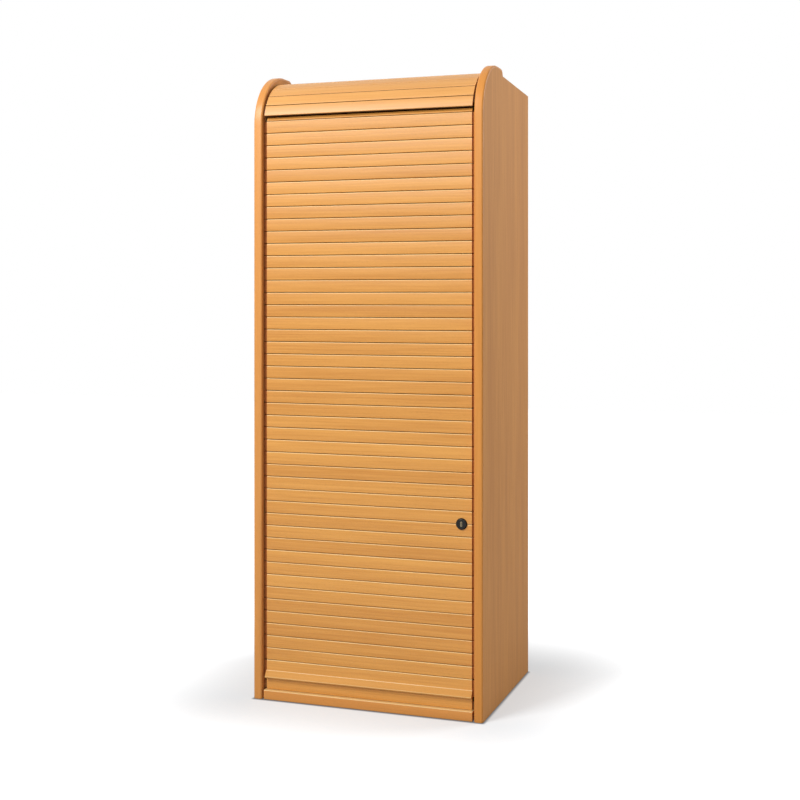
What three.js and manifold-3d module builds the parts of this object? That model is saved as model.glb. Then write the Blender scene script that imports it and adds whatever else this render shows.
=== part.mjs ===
// A tall free-standing cabinet with a vertical tambour: a curtain of wooden slats that runs up in
// grooves of the two side boards, round a bend behind a slatted hood, back under the top panel and
// down behind the compartments. Millimetres, +Z up, front towards -Y, origin at the bottom centre.
// Inside this file y is measured from the front edge of the cabinet and z from the floor.

import * as THREE from 'three';
import { mergeVertices } from 'three/addons/utils/BufferGeometryUtils.js';
import Module from 'manifold-3d';

const wasm = await Module();
wasm.setup();

// Overall sizes
const cabinetWidth = 640;
const cabinetDepth = 490;
const rimTopHeight = 1694;

// Side boards, their solid front lipping and the glides under them
const boardThickness = 24;
const lippingThickness = 6;
const lippingRound = 5;
const archRadius = 150;
const rimFlatLength = 36;
const noseRadius = 19;
const backEdgeRise = 3;
const glideHeight = 1;
const glideRadius = 9;
const glideInset = 30;

// Slatted hood over the top of the doorway
const hoodSetback = 4;
const hoodRadius = 134;
const hoodStartAngle = 0.224;
const hoodDrop = 20.75;
const hoodSlatThickness = 6;
const hoodBackingThickness = 2.5;
const hoodBevel = 1;

// Width of a hood slat round the curve, as a share of the hood's radius
const hoodSlatShare = 33 / 134;

// Curtain of slats on a canvas
const slatCount = 44;
const slatThickness = 10;
const canvasThickness = 0.75;
const curtainClearance = 1;
const slatEndGap = 7.5;
const topBevel = 1.75;
const bottomBevel = 1;
const tongueThickness = 6;
const tongueSetback = 3;
const tongueEndClearance = 1.5;
const tongueEndTrim = 1;
const firstJointRise = 7.5;

// Grooves that the curtain runs in
const grooveClearance = 1.25;
const grooveDepth = 9;
const bendRise = 10.75;
const rearGrooveInset = 19;
const rearGrooveLength = 1079;

// Lead slat at the bottom of the curtain, with its lift lip
const leadSlatHeight = 79;
const leadRestGap = 0.5;
const leadRise = 21;
const leadTongueTrim = 4.25;
const leadTongueTopTrim = 10;
const lipDrop = 28;
const lipFaceHeight = 18;
const lipNose = 2.5;
const lipUndercut = 3;
const lipNoseTopAngle = Math.PI * 0.75;
const lipNoseUnderAngle = Math.PI * 1.5;
const lipFrontSetback = 2.5;

// Panels between the sides
const topPanelThickness = 16;
const topPanelLead = 6;
const topPanelStep = 4;
const bottomPanelThickness = 18;
const bottomRailHeight = 25;
const bottomRailDepth = 38;
const bottomRailSetback = 2;
const bottomRailEndGap = 5;
const backPanelThickness = 6;
const backPanelInset = 2;
const innerBackThickness = 6;
const innerBackClearance = 8.5;
const innerBackGroove = 4;
const innerTopThickness = 12;
const innerTopClearance = 14;
const innerTopSetback = 110;
const panelClearance = 2;

// Shelves and the slotted steel strips that carry them
const shelfCount = 3;
const shelfThickness = 18;
const shelfSetback = 58;
const shelfBackGap = 2;
const shelfEndClearance = 1;
const stripThickness = 5;
const stripWidth = 14;
const stripEndGap = 16;
const stripFrontInset = 110;
const stripBackInset = 120;
const lugLength = 16;
const lugWidth = 10;
const lugThickness = 4;

// Cylinder lock through the curtain, and its keeper on the right side board
const lockJoint = 32;
const lockFromSide = 36;
const rosetteRadius = 15;
const rosetteThickness = 5;
const rosetteLandRadius = 12.5;
const rosetteEdge = 1.75;
const caseRadius = 11;
const caseLength = 17;
const plugRadius = 9;
const plugRecess = 1;
const keySlotWidth = 2.5;
const keySlotHeight = 12;
const keySlotDepth = 6;
const spindleRadius = 4;
const spindleLength = 6;
const camThickness = 3;
const camLength = 26;
const camHubRadius = 7;
const camTipRadius = 5;
const nutRadius = 6;
const nutThickness = 2;
const nutSides = 6;
const keeperFlange = 20;
const keeperDepth = 14;
const keeperHeight = 26;
const keeperThickness = 3;
const keeperClearance = 2;

// Gap at a glued or screwed joint, and how far a cutter overruns what it cuts
const joinGap = 0.25;
const overrun = 2;

// Counts of facets
const archFacets = 14;
const noseFacets = 5;
const roundFacets = 3;
const bendFacets = 12;
const hoodSlatFacets = 4;
const turnedFacets = 32;
const glideFacets = 16;

// Places that follow from the sizes above
const innerX = cabinetWidth / 2 - boardThickness;
const hoodCentreY = hoodSetback + hoodRadius * Math.cos(hoodStartAngle);
const hoodCentreZ = rimTopHeight - hoodDrop - hoodRadius;
const bendCentreZ = hoodCentreZ + bendRise;
const backingOuterRadius = hoodRadius - hoodSlatThickness - joinGap;
const hoodInnerRadius = backingOuterRadius - hoodBackingThickness;
const topStepZ = hoodCentreZ + hoodInnerRadius - joinGap;
const topPanelTopZ = topStepZ - topPanelStep;
const topPanelBottomZ = topPanelTopZ - topPanelThickness;
const noseY = archRadius + rimFlatLength + noseRadius;
const curtainFaceY = hoodSetback + (hoodRadius - hoodInnerRadius) + curtainClearance;
const curtainBackY = curtainFaceY + slatThickness + canvasThickness;
const trackY = curtainFaceY + tongueSetback + tongueThickness / 2;
const topRunZ = topPanelBottomZ - curtainClearance - (trackY - curtainFaceY);
const trackRadius = topRunZ - bendCentreZ;
const rearTrackY = cabinetDepth - rearGrooveInset;
const railTopZ = glideHeight + bottomRailHeight;
const floorZ = railTopZ + bottomPanelThickness;
const leadBottomZ = railTopZ + leadRestGap;
const leadJointZ = leadBottomZ + leadSlatHeight;
const firstJointZ = bendCentreZ + firstJointRise;
const slatPitch = (firstJointZ - leadJointZ) / slatCount;
const headTilt = (firstJointRise + slatPitch / 2) / trackRadius;
const hoodSlatCount = Math.ceil((Math.PI / 2 - hoodStartAngle) / hoodSlatShare);
const leadTravel = bendCentreZ + leadRise - (leadJointZ - joinGap);
const backPanelY = cabinetDepth - backPanelInset - backPanelThickness;
const innerBackY = rearTrackY - slatThickness / 2 - innerBackClearance - innerBackThickness;
const innerTopZ = topRunZ - slatThickness / 2 - innerTopClearance - innerTopThickness;
const lockX = innerX - lockFromSide;
const lockZ = firstJointZ - lockJoint * slatPitch;
const slatHalfWidth = innerX - slatEndGap;
const tongueHalfWidth = innerX + grooveDepth - tongueEndClearance;

const colours = {
  slat: 0xe6aa6e,
  lipping: 0xe3a468,
  hood: 0xeab479,
  board: 0xbb8c60,
  inside: 0xc99a6a,
  back: 0xa98058,
  steel: 0xb4b4b0,
  lock: 0x1c1d1e,
  glide: 0x2a2826,
};

const woodRoughness = 0.5;
const metalRoughness = 0.4;
const metalness = 0.9;
const plasticRoughness = 0.6;

const acrossFromProfile = new THREE.Matrix4().makeBasis(
  new THREE.Vector3(0, 1, 0),
  new THREE.Vector3(0, 0, 1),
  new THREE.Vector3(1, 0, 0),
);

// Turns a closed geometry into a solid that can be joined and cut
function solidOf(geometry) {
  const bare = new THREE.BufferGeometry();
  bare.setAttribute('position', geometry.getAttribute('position'));
  bare.setIndex(geometry.index);
  const merged = mergeVertices(bare);
  return new wasm.Manifold(new wasm.Mesh({
    numProp: 3,
    vertProperties: new Float32Array(merged.getAttribute('position').array),
    triVerts: new Uint32Array(merged.index.array),
  }));
}

// Turns a solid back into a geometry with flat facets
function geometryOf(solid) {
  const mesh = solid.getMesh();
  const geometry = new THREE.BufferGeometry();
  geometry.setAttribute('position', new THREE.BufferAttribute(mesh.vertProperties, 3));
  geometry.setIndex(new THREE.BufferAttribute(mesh.triVerts, 1));
  const faceted = geometry.toNonIndexed();
  faceted.computeVertexNormals();
  return faceted;
}

function named(name, geometry, colour, roughness, metallicShare = 0) {
  const material = new THREE.MeshStandardMaterial({
    color: colour, roughness, metalness: metallicShare,
  });
  const mesh = new THREE.Mesh(geometry, material);
  mesh.name = name;
  return mesh;
}

function wooden(name, geometry, colour) {
  return named(name, geometry, colour, woodRoughness);
}

function metallic(name, geometry, colour) {
  return named(name, geometry, colour, metalRoughness, metalness);
}

// Extrudes a profile drawn in (y, z) across the cabinet, centred on the middle plane
function across(profile, width) {
  const geometry = new THREE.ExtrudeGeometry(profile, { depth: width, bevelEnabled: false });
  geometry.translate(0, 0, -width / 2);
  geometry.applyMatrix4(acrossFromProfile);
  return geometry;
}

// A box between two corners
function block(low, high) {
  const [x0, y0, z0] = low;
  const [x1, y1, z1] = high;
  const geometry = new THREE.BoxGeometry(x1 - x0, y1 - y0, z1 - z0);
  geometry.translate((x0 + x1) / 2, (y0 + y1) / 2, (z0 + z1) / 2);
  return geometry;
}

function polygon(points) {
  return new THREE.Shape(points.map(([y, z]) => new THREE.Vector2(y, z)));
}

function arcPoint(centreY, centreZ, radius, angle) {
  return [centreY + radius * Math.cos(angle), centreZ + radius * Math.sin(angle)];
}

function arcPoints(centreY, centreZ, radius, fromAngle, toAngle, facets) {
  const points = [];
  for (let i = 0; i <= facets; i += 1) {
    const angle = fromAngle + ((toAngle - fromAngle) * i) / facets;
    points.push(arcPoint(centreY, centreZ, radius, angle));
  }
  return points;
}

// Front edge, arch, rim and nose of a side board, moved inwards by inset
function frontEdgePoints(inset) {
  const archCentreZ = rimTopHeight - archRadius;
  const noseCentreY = archRadius + rimFlatLength;
  const noseCentreZ = rimTopHeight - noseRadius;
  return [
    [inset, glideHeight],
    ...arcPoints(archRadius, archCentreZ, archRadius - inset, Math.PI, Math.PI / 2, archFacets),
    ...arcPoints(noseCentreY, noseCentreZ, noseRadius - inset, Math.PI / 2, 0, noseFacets),
  ];
}

function boardOutline(inset) {
  return polygon([
    ...frontEdgePoints(inset),
    [cabinetDepth, topPanelTopZ + backEdgeRise],
    [cabinetDepth, glideHeight],
  ]);
}

// The band of the track in (y, z): up the front, round both bends and down the back
function trackBand(halfWidth) {
  const rearCentreY = rearTrackY - trackRadius;
  const frontCentreY = trackY + trackRadius;
  const outer = trackRadius + halfWidth;
  const inner = trackRadius - halfWidth;
  const rearEndZ = bendCentreZ - rearGrooveLength;
  return polygon([
    [trackY - halfWidth, railTopZ],
    ...arcPoints(frontCentreY, bendCentreZ, outer, Math.PI, Math.PI / 2, bendFacets),
    ...arcPoints(rearCentreY, bendCentreZ, outer, Math.PI / 2, 0, bendFacets),
    [rearTrackY + halfWidth, rearEndZ],
    [rearTrackY - halfWidth, rearEndZ],
    ...arcPoints(rearCentreY, bendCentreZ, inner, 0, Math.PI / 2, bendFacets),
    ...arcPoints(frontCentreY, bendCentreZ, inner, Math.PI / 2, Math.PI, bendFacets),
    [trackY + halfWidth, railTopZ],
  ]);
}

function sideBoard(name, side) {
  const board = across(boardOutline(lippingThickness + joinGap), boardThickness);
  board.translate(side * (innerX + boardThickness / 2), 0, 0);
  const cutterWidth = grooveDepth + overrun;
  const groove = across(trackBand(tongueThickness / 2 + grooveClearance), cutterWidth);
  groove.translate(side * (innerX + grooveDepth - cutterWidth / 2), 0, 0);
  return wooden(name, geometryOf(solidOf(board).subtract(solidOf(groove))), colours.board);
}

// The lipping is the outer band of a board whose edges are all rounded
function lipping(name, side) {
  const rounded = new THREE.ExtrudeGeometry(boardOutline(0), {
    depth: boardThickness - lippingRound * 2,
    bevelThickness: lippingRound,
    bevelSize: lippingRound,
    bevelOffset: -lippingRound,
    bevelSegments: roundFacets,
  });
  rounded.translate(0, 0, lippingRound - boardThickness / 2);
  rounded.applyMatrix4(acrossFromProfile);
  const noseZ = rimTopHeight - noseRadius;
  const band = polygon([
    [-overrun, -overrun],
    [-overrun, rimTopHeight + overrun],
    [noseY + overrun, rimTopHeight + overrun],
    [noseY + overrun, noseZ],
    ...frontEdgePoints(lippingThickness).reverse(),
    [lippingThickness, -overrun],
  ]);
  const cutter = across(band, boardThickness + overrun * 2);
  const strip = geometryOf(solidOf(rounded).intersect(solidOf(cutter)));
  strip.translate(side * (innerX + boardThickness / 2), 0, 0);
  return wooden(name, strip, colours.lipping);
}

const hoodFrontAngle = Math.PI - hoodStartAngle;

function hoodSlat(index) {
  const gapAngle = joinGap / hoodRadius / 2;
  const bevelAngle = hoodBevel / hoodRadius;
  const from = hoodFrontAngle - index * hoodSlatShare - gapAngle;
  const to = Math.max(Math.PI / 2, hoodFrontAngle - (index + 1) * hoodSlatShare + gapAngle);
  const inner = hoodRadius - hoodSlatThickness;
  const neck = hoodRadius - hoodBevel;
  const ring = (radius, a, b) => arcPoints(hoodCentreY, hoodCentreZ, radius, a, b, hoodSlatFacets);
  const profile = polygon([
    arcPoint(hoodCentreY, hoodCentreZ, neck, from),
    ...ring(hoodRadius, from - bevelAngle, to + bevelAngle),
    arcPoint(hoodCentreY, hoodCentreZ, neck, to),
    ...ring(inner, to, from),
  ]);
  return wooden(`hood_slat_${index + 1}`, across(profile, slatHalfWidth * 2), colours.hood);
}

function hoodBacking() {
  const facets = hoodSlatFacets * hoodSlatCount;
  const profile = polygon([
    ...arcPoints(hoodCentreY, hoodCentreZ, backingOuterRadius, hoodFrontAngle, Math.PI / 2, facets),
    ...arcPoints(hoodCentreY, hoodCentreZ, hoodInnerRadius, Math.PI / 2, hoodFrontAngle, facets),
  ]);
  return wooden('hood_backing', across(profile, innerX * 2), colours.back);
}

// Profile in (y, z) of slats one above the other on one canvas, from the joint at z = 0 upwards
function slatProfile(count) {
  const slatBackY = curtainFaceY + slatThickness;
  const points = [[curtainBackY, joinGap]];
  for (let i = 0; i < count; i += 1) {
    const low = i * slatPitch + joinGap;
    const high = (i + 1) * slatPitch - joinGap;
    if (i > 0) points.push([slatBackY, low]);
    points.push([curtainFaceY + bottomBevel, low]);
    points.push([curtainFaceY, low + bottomBevel]);
    points.push([curtainFaceY, high - topBevel]);
    points.push([curtainFaceY + topBevel, high]);
    if (i < count - 1) points.push([slatBackY, high]);
  }
  points.push([curtainBackY, count * slatPitch - joinGap]);
  return polygon(points);
}

// The thinner end that runs in the grooves, between two heights
function tongue(lowZ, highZ) {
  const y = curtainFaceY + tongueSetback;
  return solidOf(block(
    [-tongueHalfWidth, y, lowZ + tongueEndTrim],
    [tongueHalfWidth, y + tongueThickness, highZ - tongueEndTrim],
  ));
}

function slatsSolid(count) {
  let solid = solidOf(across(slatProfile(count), slatHalfWidth * 2));
  for (let i = 0; i < count; i += 1) {
    solid = solid.add(tongue(i * slatPitch + joinGap, (i + 1) * slatPitch - joinGap));
  }
  return solid;
}

const two = (number) => String(number).padStart(2, '0');

// A section of the curtain whose lowest joint is joint number lowJoint, counted down from the hood
function curtainSection(name, solid, lowJoint) {
  const mesh = wooden(name, geometryOf(solid), colours.slat);
  mesh.position.z = firstJointZ - lowJoint * slatPitch;
  return mesh;
}

// Slat 1 with the head slat above it, which leans back with the start of the bend
function headSection() {
  const lower = slatsSolid(1);
  const hinge = new THREE.Matrix4().makeTranslation(0, curtainBackY, slatPitch);
  const lean = new THREE.Matrix4().makeRotationX(-headTilt);
  const back = new THREE.Matrix4().makeTranslation(0, -curtainBackY, 0);
  const leaning = geometryOf(slatsSolid(1));
  leaning.applyMatrix4(hinge.multiply(lean).multiply(back));
  const canvas = block(
    [-slatHalfWidth, curtainBackY - canvasThickness, slatPitch - topBevel],
    [slatHalfWidth, curtainBackY, slatPitch + topBevel],
  );
  return curtainSection('slats_00_01', lower.add(solidOf(leaning)).add(solidOf(canvas)), 1);
}

// The pair of slats that the lock goes through has a bore on its joint
function lockSection() {
  const bore = turned([
    [0, curtainFaceY - overrun],
    [caseRadius + joinGap, curtainFaceY - overrun],
    [caseRadius + joinGap, curtainBackY + overrun],
    [0, curtainBackY + overrun],
  ]);
  bore.translate(lockX, 0, slatPitch);
  return slatsSolid(2).subtract(solidOf(bore));
}

function curtain() {
  const meshes = [headSection()];
  const pair = slatsSolid(2);
  const lockPair = lockSection();
  for (let upper = 2; upper < slatCount; upper += 2) {
    const solid = upper === lockJoint ? lockPair : pair;
    meshes.push(curtainSection(`slats_${two(upper)}_${two(upper + 1)}`, solid, upper + 1));
  }
  meshes.push(curtainSection(`slat_${two(slatCount)}`, slatsSolid(1), slatCount));
  return meshes;
}

function leadSlat() {
  const high = leadJointZ - joinGap;
  const profile = polygon([
    [curtainBackY, leadBottomZ],
    [curtainFaceY + bottomBevel, leadBottomZ],
    [curtainFaceY, leadBottomZ + bottomBevel],
    [curtainFaceY, high - topBevel],
    [curtainFaceY + topBevel, high],
    [curtainBackY, high],
  ]);
  const body = solidOf(across(profile, slatHalfWidth * 2));
  const solid = body.add(tongue(leadBottomZ + leadTongueTrim, high - leadTongueTopTrim));
  return wooden('lead_slat', geometryOf(solid), colours.slat);
}

// The lip slopes out from the lead slat to a rounded nose with a finger undercut behind it
function liftLip() {
  const topZ = leadJointZ - lipDrop;
  const noseZ = topZ - lipFaceHeight;
  const noseRound = lipNose / 2;
  const noseCentreY = lipFrontSetback + noseRound;
  const profile = polygon([
    [curtainFaceY, topZ],
    ...arcPoints(noseCentreY, noseZ, noseRound, lipNoseTopAngle, lipNoseUnderAngle, noseFacets),
    [curtainFaceY, noseZ + lipUndercut],
  ]);
  return wooden('lift_lip', across(profile, slatHalfWidth * 2), colours.slat);
}

// The top panel has a step along its front, on which the hood's backing rests
function topPanelProfile() {
  const frontY = hoodCentreY - topPanelLead;
  const rearY = cabinetDepth - backPanelInset;
  return polygon([
    [frontY, topPanelBottomZ],
    [frontY, topStepZ],
    [hoodCentreY + joinGap, topStepZ],
    [hoodCentreY + joinGap, topPanelTopZ],
    [rearY, topPanelTopZ],
    [rearY, topPanelBottomZ],
  ]);
}

const grooveFloorZ = floorZ - innerBackGroove;

// The bottom panel has a groove across it, in which the inner back stands
function bottomPanelProfile(frontY) {
  return polygon([
    [frontY, railTopZ],
    [frontY, floorZ],
    [innerBackY, floorZ],
    [innerBackY, grooveFloorZ],
    [innerBackY + innerBackThickness, grooveFloorZ],
    [innerBackY + innerBackThickness, floorZ],
    [backPanelY, floorZ],
    [backPanelY, railTopZ],
  ]);
}

function panels() {
  const x = innerX;
  const railX = innerX - bottomRailEndGap;
  const railY = bottomRailSetback;
  const panelFrontY = curtainBackY + panelClearance;
  return [
    wooden('top_panel', across(topPanelProfile(), x * 2), colours.board),
    wooden('bottom_panel', across(bottomPanelProfile(panelFrontY), x * 2), colours.inside),
    wooden('bottom_rail', bottomRail(railX, railY), colours.lipping),
    wooden('back_panel', block(
      [-x, backPanelY, railTopZ],
      [x, backPanelY + backPanelThickness, topPanelBottomZ],
    ), colours.back),
    wooden('inner_back', block(
      [-x, innerBackY, grooveFloorZ],
      [x, innerBackY + innerBackThickness, innerTopZ],
    ), colours.inside),
    wooden('inner_top', block(
      [-x, innerTopSetback, innerTopZ],
      [x, innerBackY + innerBackThickness, innerTopZ + innerTopThickness],
    ), colours.inside),
  ];
}

function bottomRail(halfWidth, frontY) {
  const profile = polygon([
    [frontY, glideHeight + bottomBevel],
    [frontY, railTopZ - topBevel],
    [frontY + topBevel, railTopZ],
    [frontY + bottomRailDepth, railTopZ],
    [frontY + bottomRailDepth, glideHeight],
    [frontY + bottomBevel, glideHeight],
  ]);
  return across(profile, halfWidth * 2);
}

// Undersides of the shelves, evenly spread over the height that the open curtain leaves clear
function shelfHeights() {
  const clearHeight = leadBottomZ + leadTravel - floorZ;
  const compartment = (clearHeight - shelfCount * shelfThickness) / (shelfCount + 1);
  const heights = [];
  for (let i = 0; i < shelfCount; i += 1) {
    heights.push(floorZ + (i + 1) * compartment + i * shelfThickness);
  }
  return heights;
}

function shelves() {
  const x = innerX - stripThickness - shelfEndClearance;
  return shelfHeights().map((z, i) => wooden(`shelf_${i + 1}`, block(
    [-x, shelfSetback, z],
    [x, innerBackY - shelfBackGap, z + shelfThickness],
  ), colours.inside));
}

// A steel strip up the inside of a board, with a lug under each shelf
function shelfStrip(name, side, middleY) {
  const stripLowZ = floorZ + stripEndGap;
  const stripHighZ = innerTopZ - stripEndGap;
  const span = (nearX, farX) => [side * nearX, side * farX].sort((a, b) => a - b);
  const [x0, x1] = span(innerX - stripThickness, innerX);
  const [l0, l1] = span(innerX - stripThickness - lugLength, innerX - stripThickness / 2);
  let solid = solidOf(block(
    [x0, middleY - stripWidth / 2, stripLowZ],
    [x1, middleY + stripWidth / 2, stripHighZ],
  ));
  for (const z of shelfHeights()) {
    solid = solid.add(solidOf(block(
      [l0, middleY - lugWidth / 2, z - lugThickness],
      [l1, middleY + lugWidth / 2, z],
    )));
  }
  return metallic(name, geometryOf(solid), colours.steel);
}

function shelfStrips() {
  const backY = innerBackY - stripBackInset;
  return [
    shelfStrip('shelf_strip_front_left', -1, stripFrontInset),
    shelfStrip('shelf_strip_back_left', -1, backY),
    shelfStrip('shelf_strip_front_right', 1, stripFrontInset),
    shelfStrip('shelf_strip_back_right', 1, backY),
  ];
}

// A body turned about an axis along y, from points of (radius, y)
function turned(points, facets = turnedFacets) {
  return new THREE.LatheGeometry(points.map(([r, y]) => new THREE.Vector2(r, y)), facets);
}

function atLock(name, geometry) {
  const mesh = metallic(name, geometry, colours.lock);
  mesh.position.set(lockX, 0, lockZ);
  return mesh;
}

function lockRosette() {
  const frontY = curtainFaceY - rosetteThickness;
  const bore = plugRadius + joinGap;
  const rimY = curtainFaceY - joinGap;
  return atLock('lock_rosette', turned([
    [bore, frontY],
    [rosetteLandRadius, frontY],
    [rosetteRadius, rimY - rosetteEdge],
    [rosetteRadius, rimY],
    [bore, rimY],
    [bore, frontY],
  ]));
}

function lockCase() {
  const bore = plugRadius + joinGap;
  const rearY = curtainFaceY + caseLength;
  return atLock('lock_case', turned([
    [bore, curtainFaceY],
    [caseRadius, curtainFaceY],
    [caseRadius, rearY],
    [bore, rearY],
    [bore, curtainFaceY],
  ]));
}

const plugRearY = curtainFaceY + caseLength + joinGap;

function lockPlug() {
  const frontY = curtainFaceY - rosetteThickness + plugRecess;
  const body = turned([
    [0, frontY],
    [plugRadius, frontY],
    [plugRadius, plugRearY],
    [spindleRadius, plugRearY],
    [spindleRadius, plugRearY + spindleLength],
    [0, plugRearY + spindleLength],
  ]);
  const slot = block(
    [-keySlotWidth / 2, frontY - overrun, -keySlotHeight / 2],
    [keySlotWidth / 2, frontY + keySlotDepth, keySlotHeight / 2],
  );
  return atLock('lock_plug', geometryOf(solidOf(body).subtract(solidOf(slot))));
}

// A flat plate with a bore for the spindle, its outline drawn in (x, z), from nearY backwards
function spindlePlate(shape, thickness, nearY) {
  const bore = new THREE.Path();
  bore.absarc(0, 0, spindleRadius + joinGap, 0, Math.PI * 2, true);
  shape.holes.push(bore);
  const plate = new THREE.ExtrudeGeometry(shape, {
    depth: thickness, bevelEnabled: false, curveSegments: bendFacets,
  });
  plate.rotateX(Math.PI / 2);
  plate.translate(0, nearY + thickness, 0);
  return plate;
}

// Flat cam on the spindle, hanging straight down when the curtain is unlocked
function lockCam() {
  const shape = new THREE.Shape();
  const tipZ = camTipRadius - camLength;
  const lean = Math.asin((camHubRadius - camTipRadius) / -tipZ);
  shape.absarc(0, 0, camHubRadius, -lean, Math.PI + lean, false);
  shape.absarc(0, tipZ, camTipRadius, Math.PI + lean, -lean, false);
  shape.closePath();
  return atLock('lock_cam', spindlePlate(shape, camThickness, plugRearY + joinGap));
}

function lockNut() {
  const corners = arcPoints(0, 0, nutRadius, 0, Math.PI * 2, nutSides).slice(0, -1);
  const nearY = plugRearY + camThickness + joinGap * 2;
  return atLock('lock_nut', spindlePlate(polygon(corners), nutThickness, nearY));
}

// Steel angle on the right board; the turned cam catches under its flange
function lockKeeper() {
  const lowZ = lockZ + camHubRadius + keeperClearance;
  const nearY = plugRearY - keeperClearance;
  const solid = solidOf(block(
    [innerX - keeperFlange, nearY, lowZ],
    [innerX, nearY + keeperDepth, lowZ + keeperThickness],
  )).add(solidOf(block(
    [innerX - keeperThickness, nearY, lowZ],
    [innerX, nearY + keeperDepth, lowZ + keeperHeight],
  )));
  return metallic('lock_keeper', geometryOf(solid), colours.steel);
}

function glides() {
  const x = innerX + boardThickness / 2;
  const places = {
    glide_front_left: [-x, glideInset],
    glide_front_right: [x, glideInset],
    glide_back_left: [-x, cabinetDepth - glideInset],
    glide_back_right: [x, cabinetDepth - glideInset],
  };
  return Object.entries(places).map(([name, [atX, atY]]) => {
    const disc = new THREE.CylinderGeometry(glideRadius, glideRadius, glideHeight, glideFacets);
    disc.rotateX(Math.PI / 2);
    const mesh = named(name, disc, colours.glide, plasticRoughness);
    mesh.position.set(atX, atY, glideHeight / 2);
    return mesh;
  });
}

function hoodSlats() {
  return Array.from({ length: hoodSlatCount }, (_, i) => hoodSlat(i));
}

const carcass = new THREE.Group();
carcass.add(
  sideBoard('side_left', -1),
  sideBoard('side_right', 1),
  lipping('lipping_left', -1),
  lipping('lipping_right', 1),
  ...panels(),
  ...hoodSlats(),
  hoodBacking(),
  ...shelves(),
  ...shelfStrips(),
  lockKeeper(),
  ...glides(),
);

const tambour = new THREE.Group();
tambour.add(
  ...curtain(),
  leadSlat(),
  liftLip(),
  lockRosette(),
  lockCase(),
  lockPlug(),
  lockCam(),
  lockNut(),
);

const cabinet = new THREE.Group();
cabinet.position.y = -cabinetDepth / 2;
cabinet.add(carcass, tambour);

export default cabinet;
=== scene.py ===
"""A tall tambour door cabinet in lacquered beech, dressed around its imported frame.

Lengths are in metres in the row frame: +Z up, the front towards -Y, +X to the right seen from
the front, and the origin on the floor under the middle of the cabinet.
"""

import logging
import math
import random
from collections.abc import Iterable, Mapping, Sequence
from dataclasses import dataclass, field
from enum import Enum, IntEnum
from typing import Any

import bmesh
import bpy
from mathutils import Matrix, Vector
from mathutils.geometry import tessellate_polygon


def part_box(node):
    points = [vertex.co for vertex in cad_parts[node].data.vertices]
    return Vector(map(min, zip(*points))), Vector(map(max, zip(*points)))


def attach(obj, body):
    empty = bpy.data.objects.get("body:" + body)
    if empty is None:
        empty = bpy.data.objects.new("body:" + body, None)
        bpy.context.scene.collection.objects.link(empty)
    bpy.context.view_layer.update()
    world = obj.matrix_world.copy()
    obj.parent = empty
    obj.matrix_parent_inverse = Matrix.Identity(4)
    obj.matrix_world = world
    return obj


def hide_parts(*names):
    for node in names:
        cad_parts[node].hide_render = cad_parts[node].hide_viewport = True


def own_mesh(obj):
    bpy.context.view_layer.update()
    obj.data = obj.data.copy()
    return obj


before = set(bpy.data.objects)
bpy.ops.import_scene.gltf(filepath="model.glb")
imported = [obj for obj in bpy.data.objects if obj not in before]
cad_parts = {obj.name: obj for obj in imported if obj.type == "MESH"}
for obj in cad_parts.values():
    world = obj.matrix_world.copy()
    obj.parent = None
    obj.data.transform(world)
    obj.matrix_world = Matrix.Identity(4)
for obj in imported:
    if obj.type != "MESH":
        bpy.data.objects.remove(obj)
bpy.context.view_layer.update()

log = logging.getLogger("tambour_cabinet")

Pair = tuple[float, float]
Triple = tuple[float, float, float]
Colour = tuple[int, int, int]
Paint = tuple[float, float, float, float]
Face = Sequence[int]

MM = 0.001
SEED = 41
# An edge whose faces meet at a larger angle stays sharp.
SHARP_DEGREES = 32.0
NOISE_MEAN = 0.5
BLACK: Paint = (0.0, 0.0, 0.0, 1.0)
WHITE: Paint = (1.0, 1.0, 1.0, 1.0)
# The uppermost pair of slats, and the pair that the lock goes through.
HEAD_PAIR = "slats_00_01"
LOCK_PAIR = "slats_32_33"
# Bodies of the frame.
CABINET = "cabinet"
LEAD_RAIL = "lead_rail"
LOCK_SECTION = "section_32_33"


class Run(Enum):
    """The way that the grain of a board runs, as the index of the axis."""

    ACROSS = 0
    UP = 2


class Coat(IntEnum):
    """Which of its piece's finishes a face gets, as the index of the material."""

    BODY = 0
    ACCENT = 1
    RUNNER = 2
    # A paler finish on upper rounded edges: a painted highlight.
    ARRIS = 3


class Side(Enum):
    """A side of the cabinet seen from the front, as its sign along X."""

    LEFT = -1
    RIGHT = 1

    @property
    def word(self) -> str:
        """The side's name as the frame's nodes spell it."""
        return self.name.lower()


def low(node: str) -> Vector:
    """Returns the lowest corner of a node of the frame."""
    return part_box(node)[0]


def high(node: str) -> Vector:
    """Returns the highest corner of a node of the frame."""
    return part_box(node)[1]


def linear(colour: Colour) -> Paint:
    """Turns a colour as written on screen, 0 to 255, into the renderer's linear colour.

    Args:
        colour: Red, green and blue from 0 to 255.

    Returns:
        Linear red, green, blue and an alpha of 1.
    """
    dark_end, dark_slope, lift, power = 0.04045, 12.92, 0.055, 2.4
    parts = [part / 255 for part in colour]
    spread = [p / dark_slope if p <= dark_end else ((p + lift) / (1 + lift)) ** power for p in parts]
    return (*spread, 1.0)


def shade(colour: Colour, share: float) -> Colour:
    """Returns a colour as written on screen, darkened to a share of itself."""
    return tuple(round(part * share) for part in colour)


def linked(name: str, data: bpy.types.ID) -> bpy.types.Object:
    """Makes an object of a mesh, lamp or camera and links it to the scene."""
    made = bpy.data.objects.new(name, data)
    bpy.context.scene.collection.objects.link(made)
    return made


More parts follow.
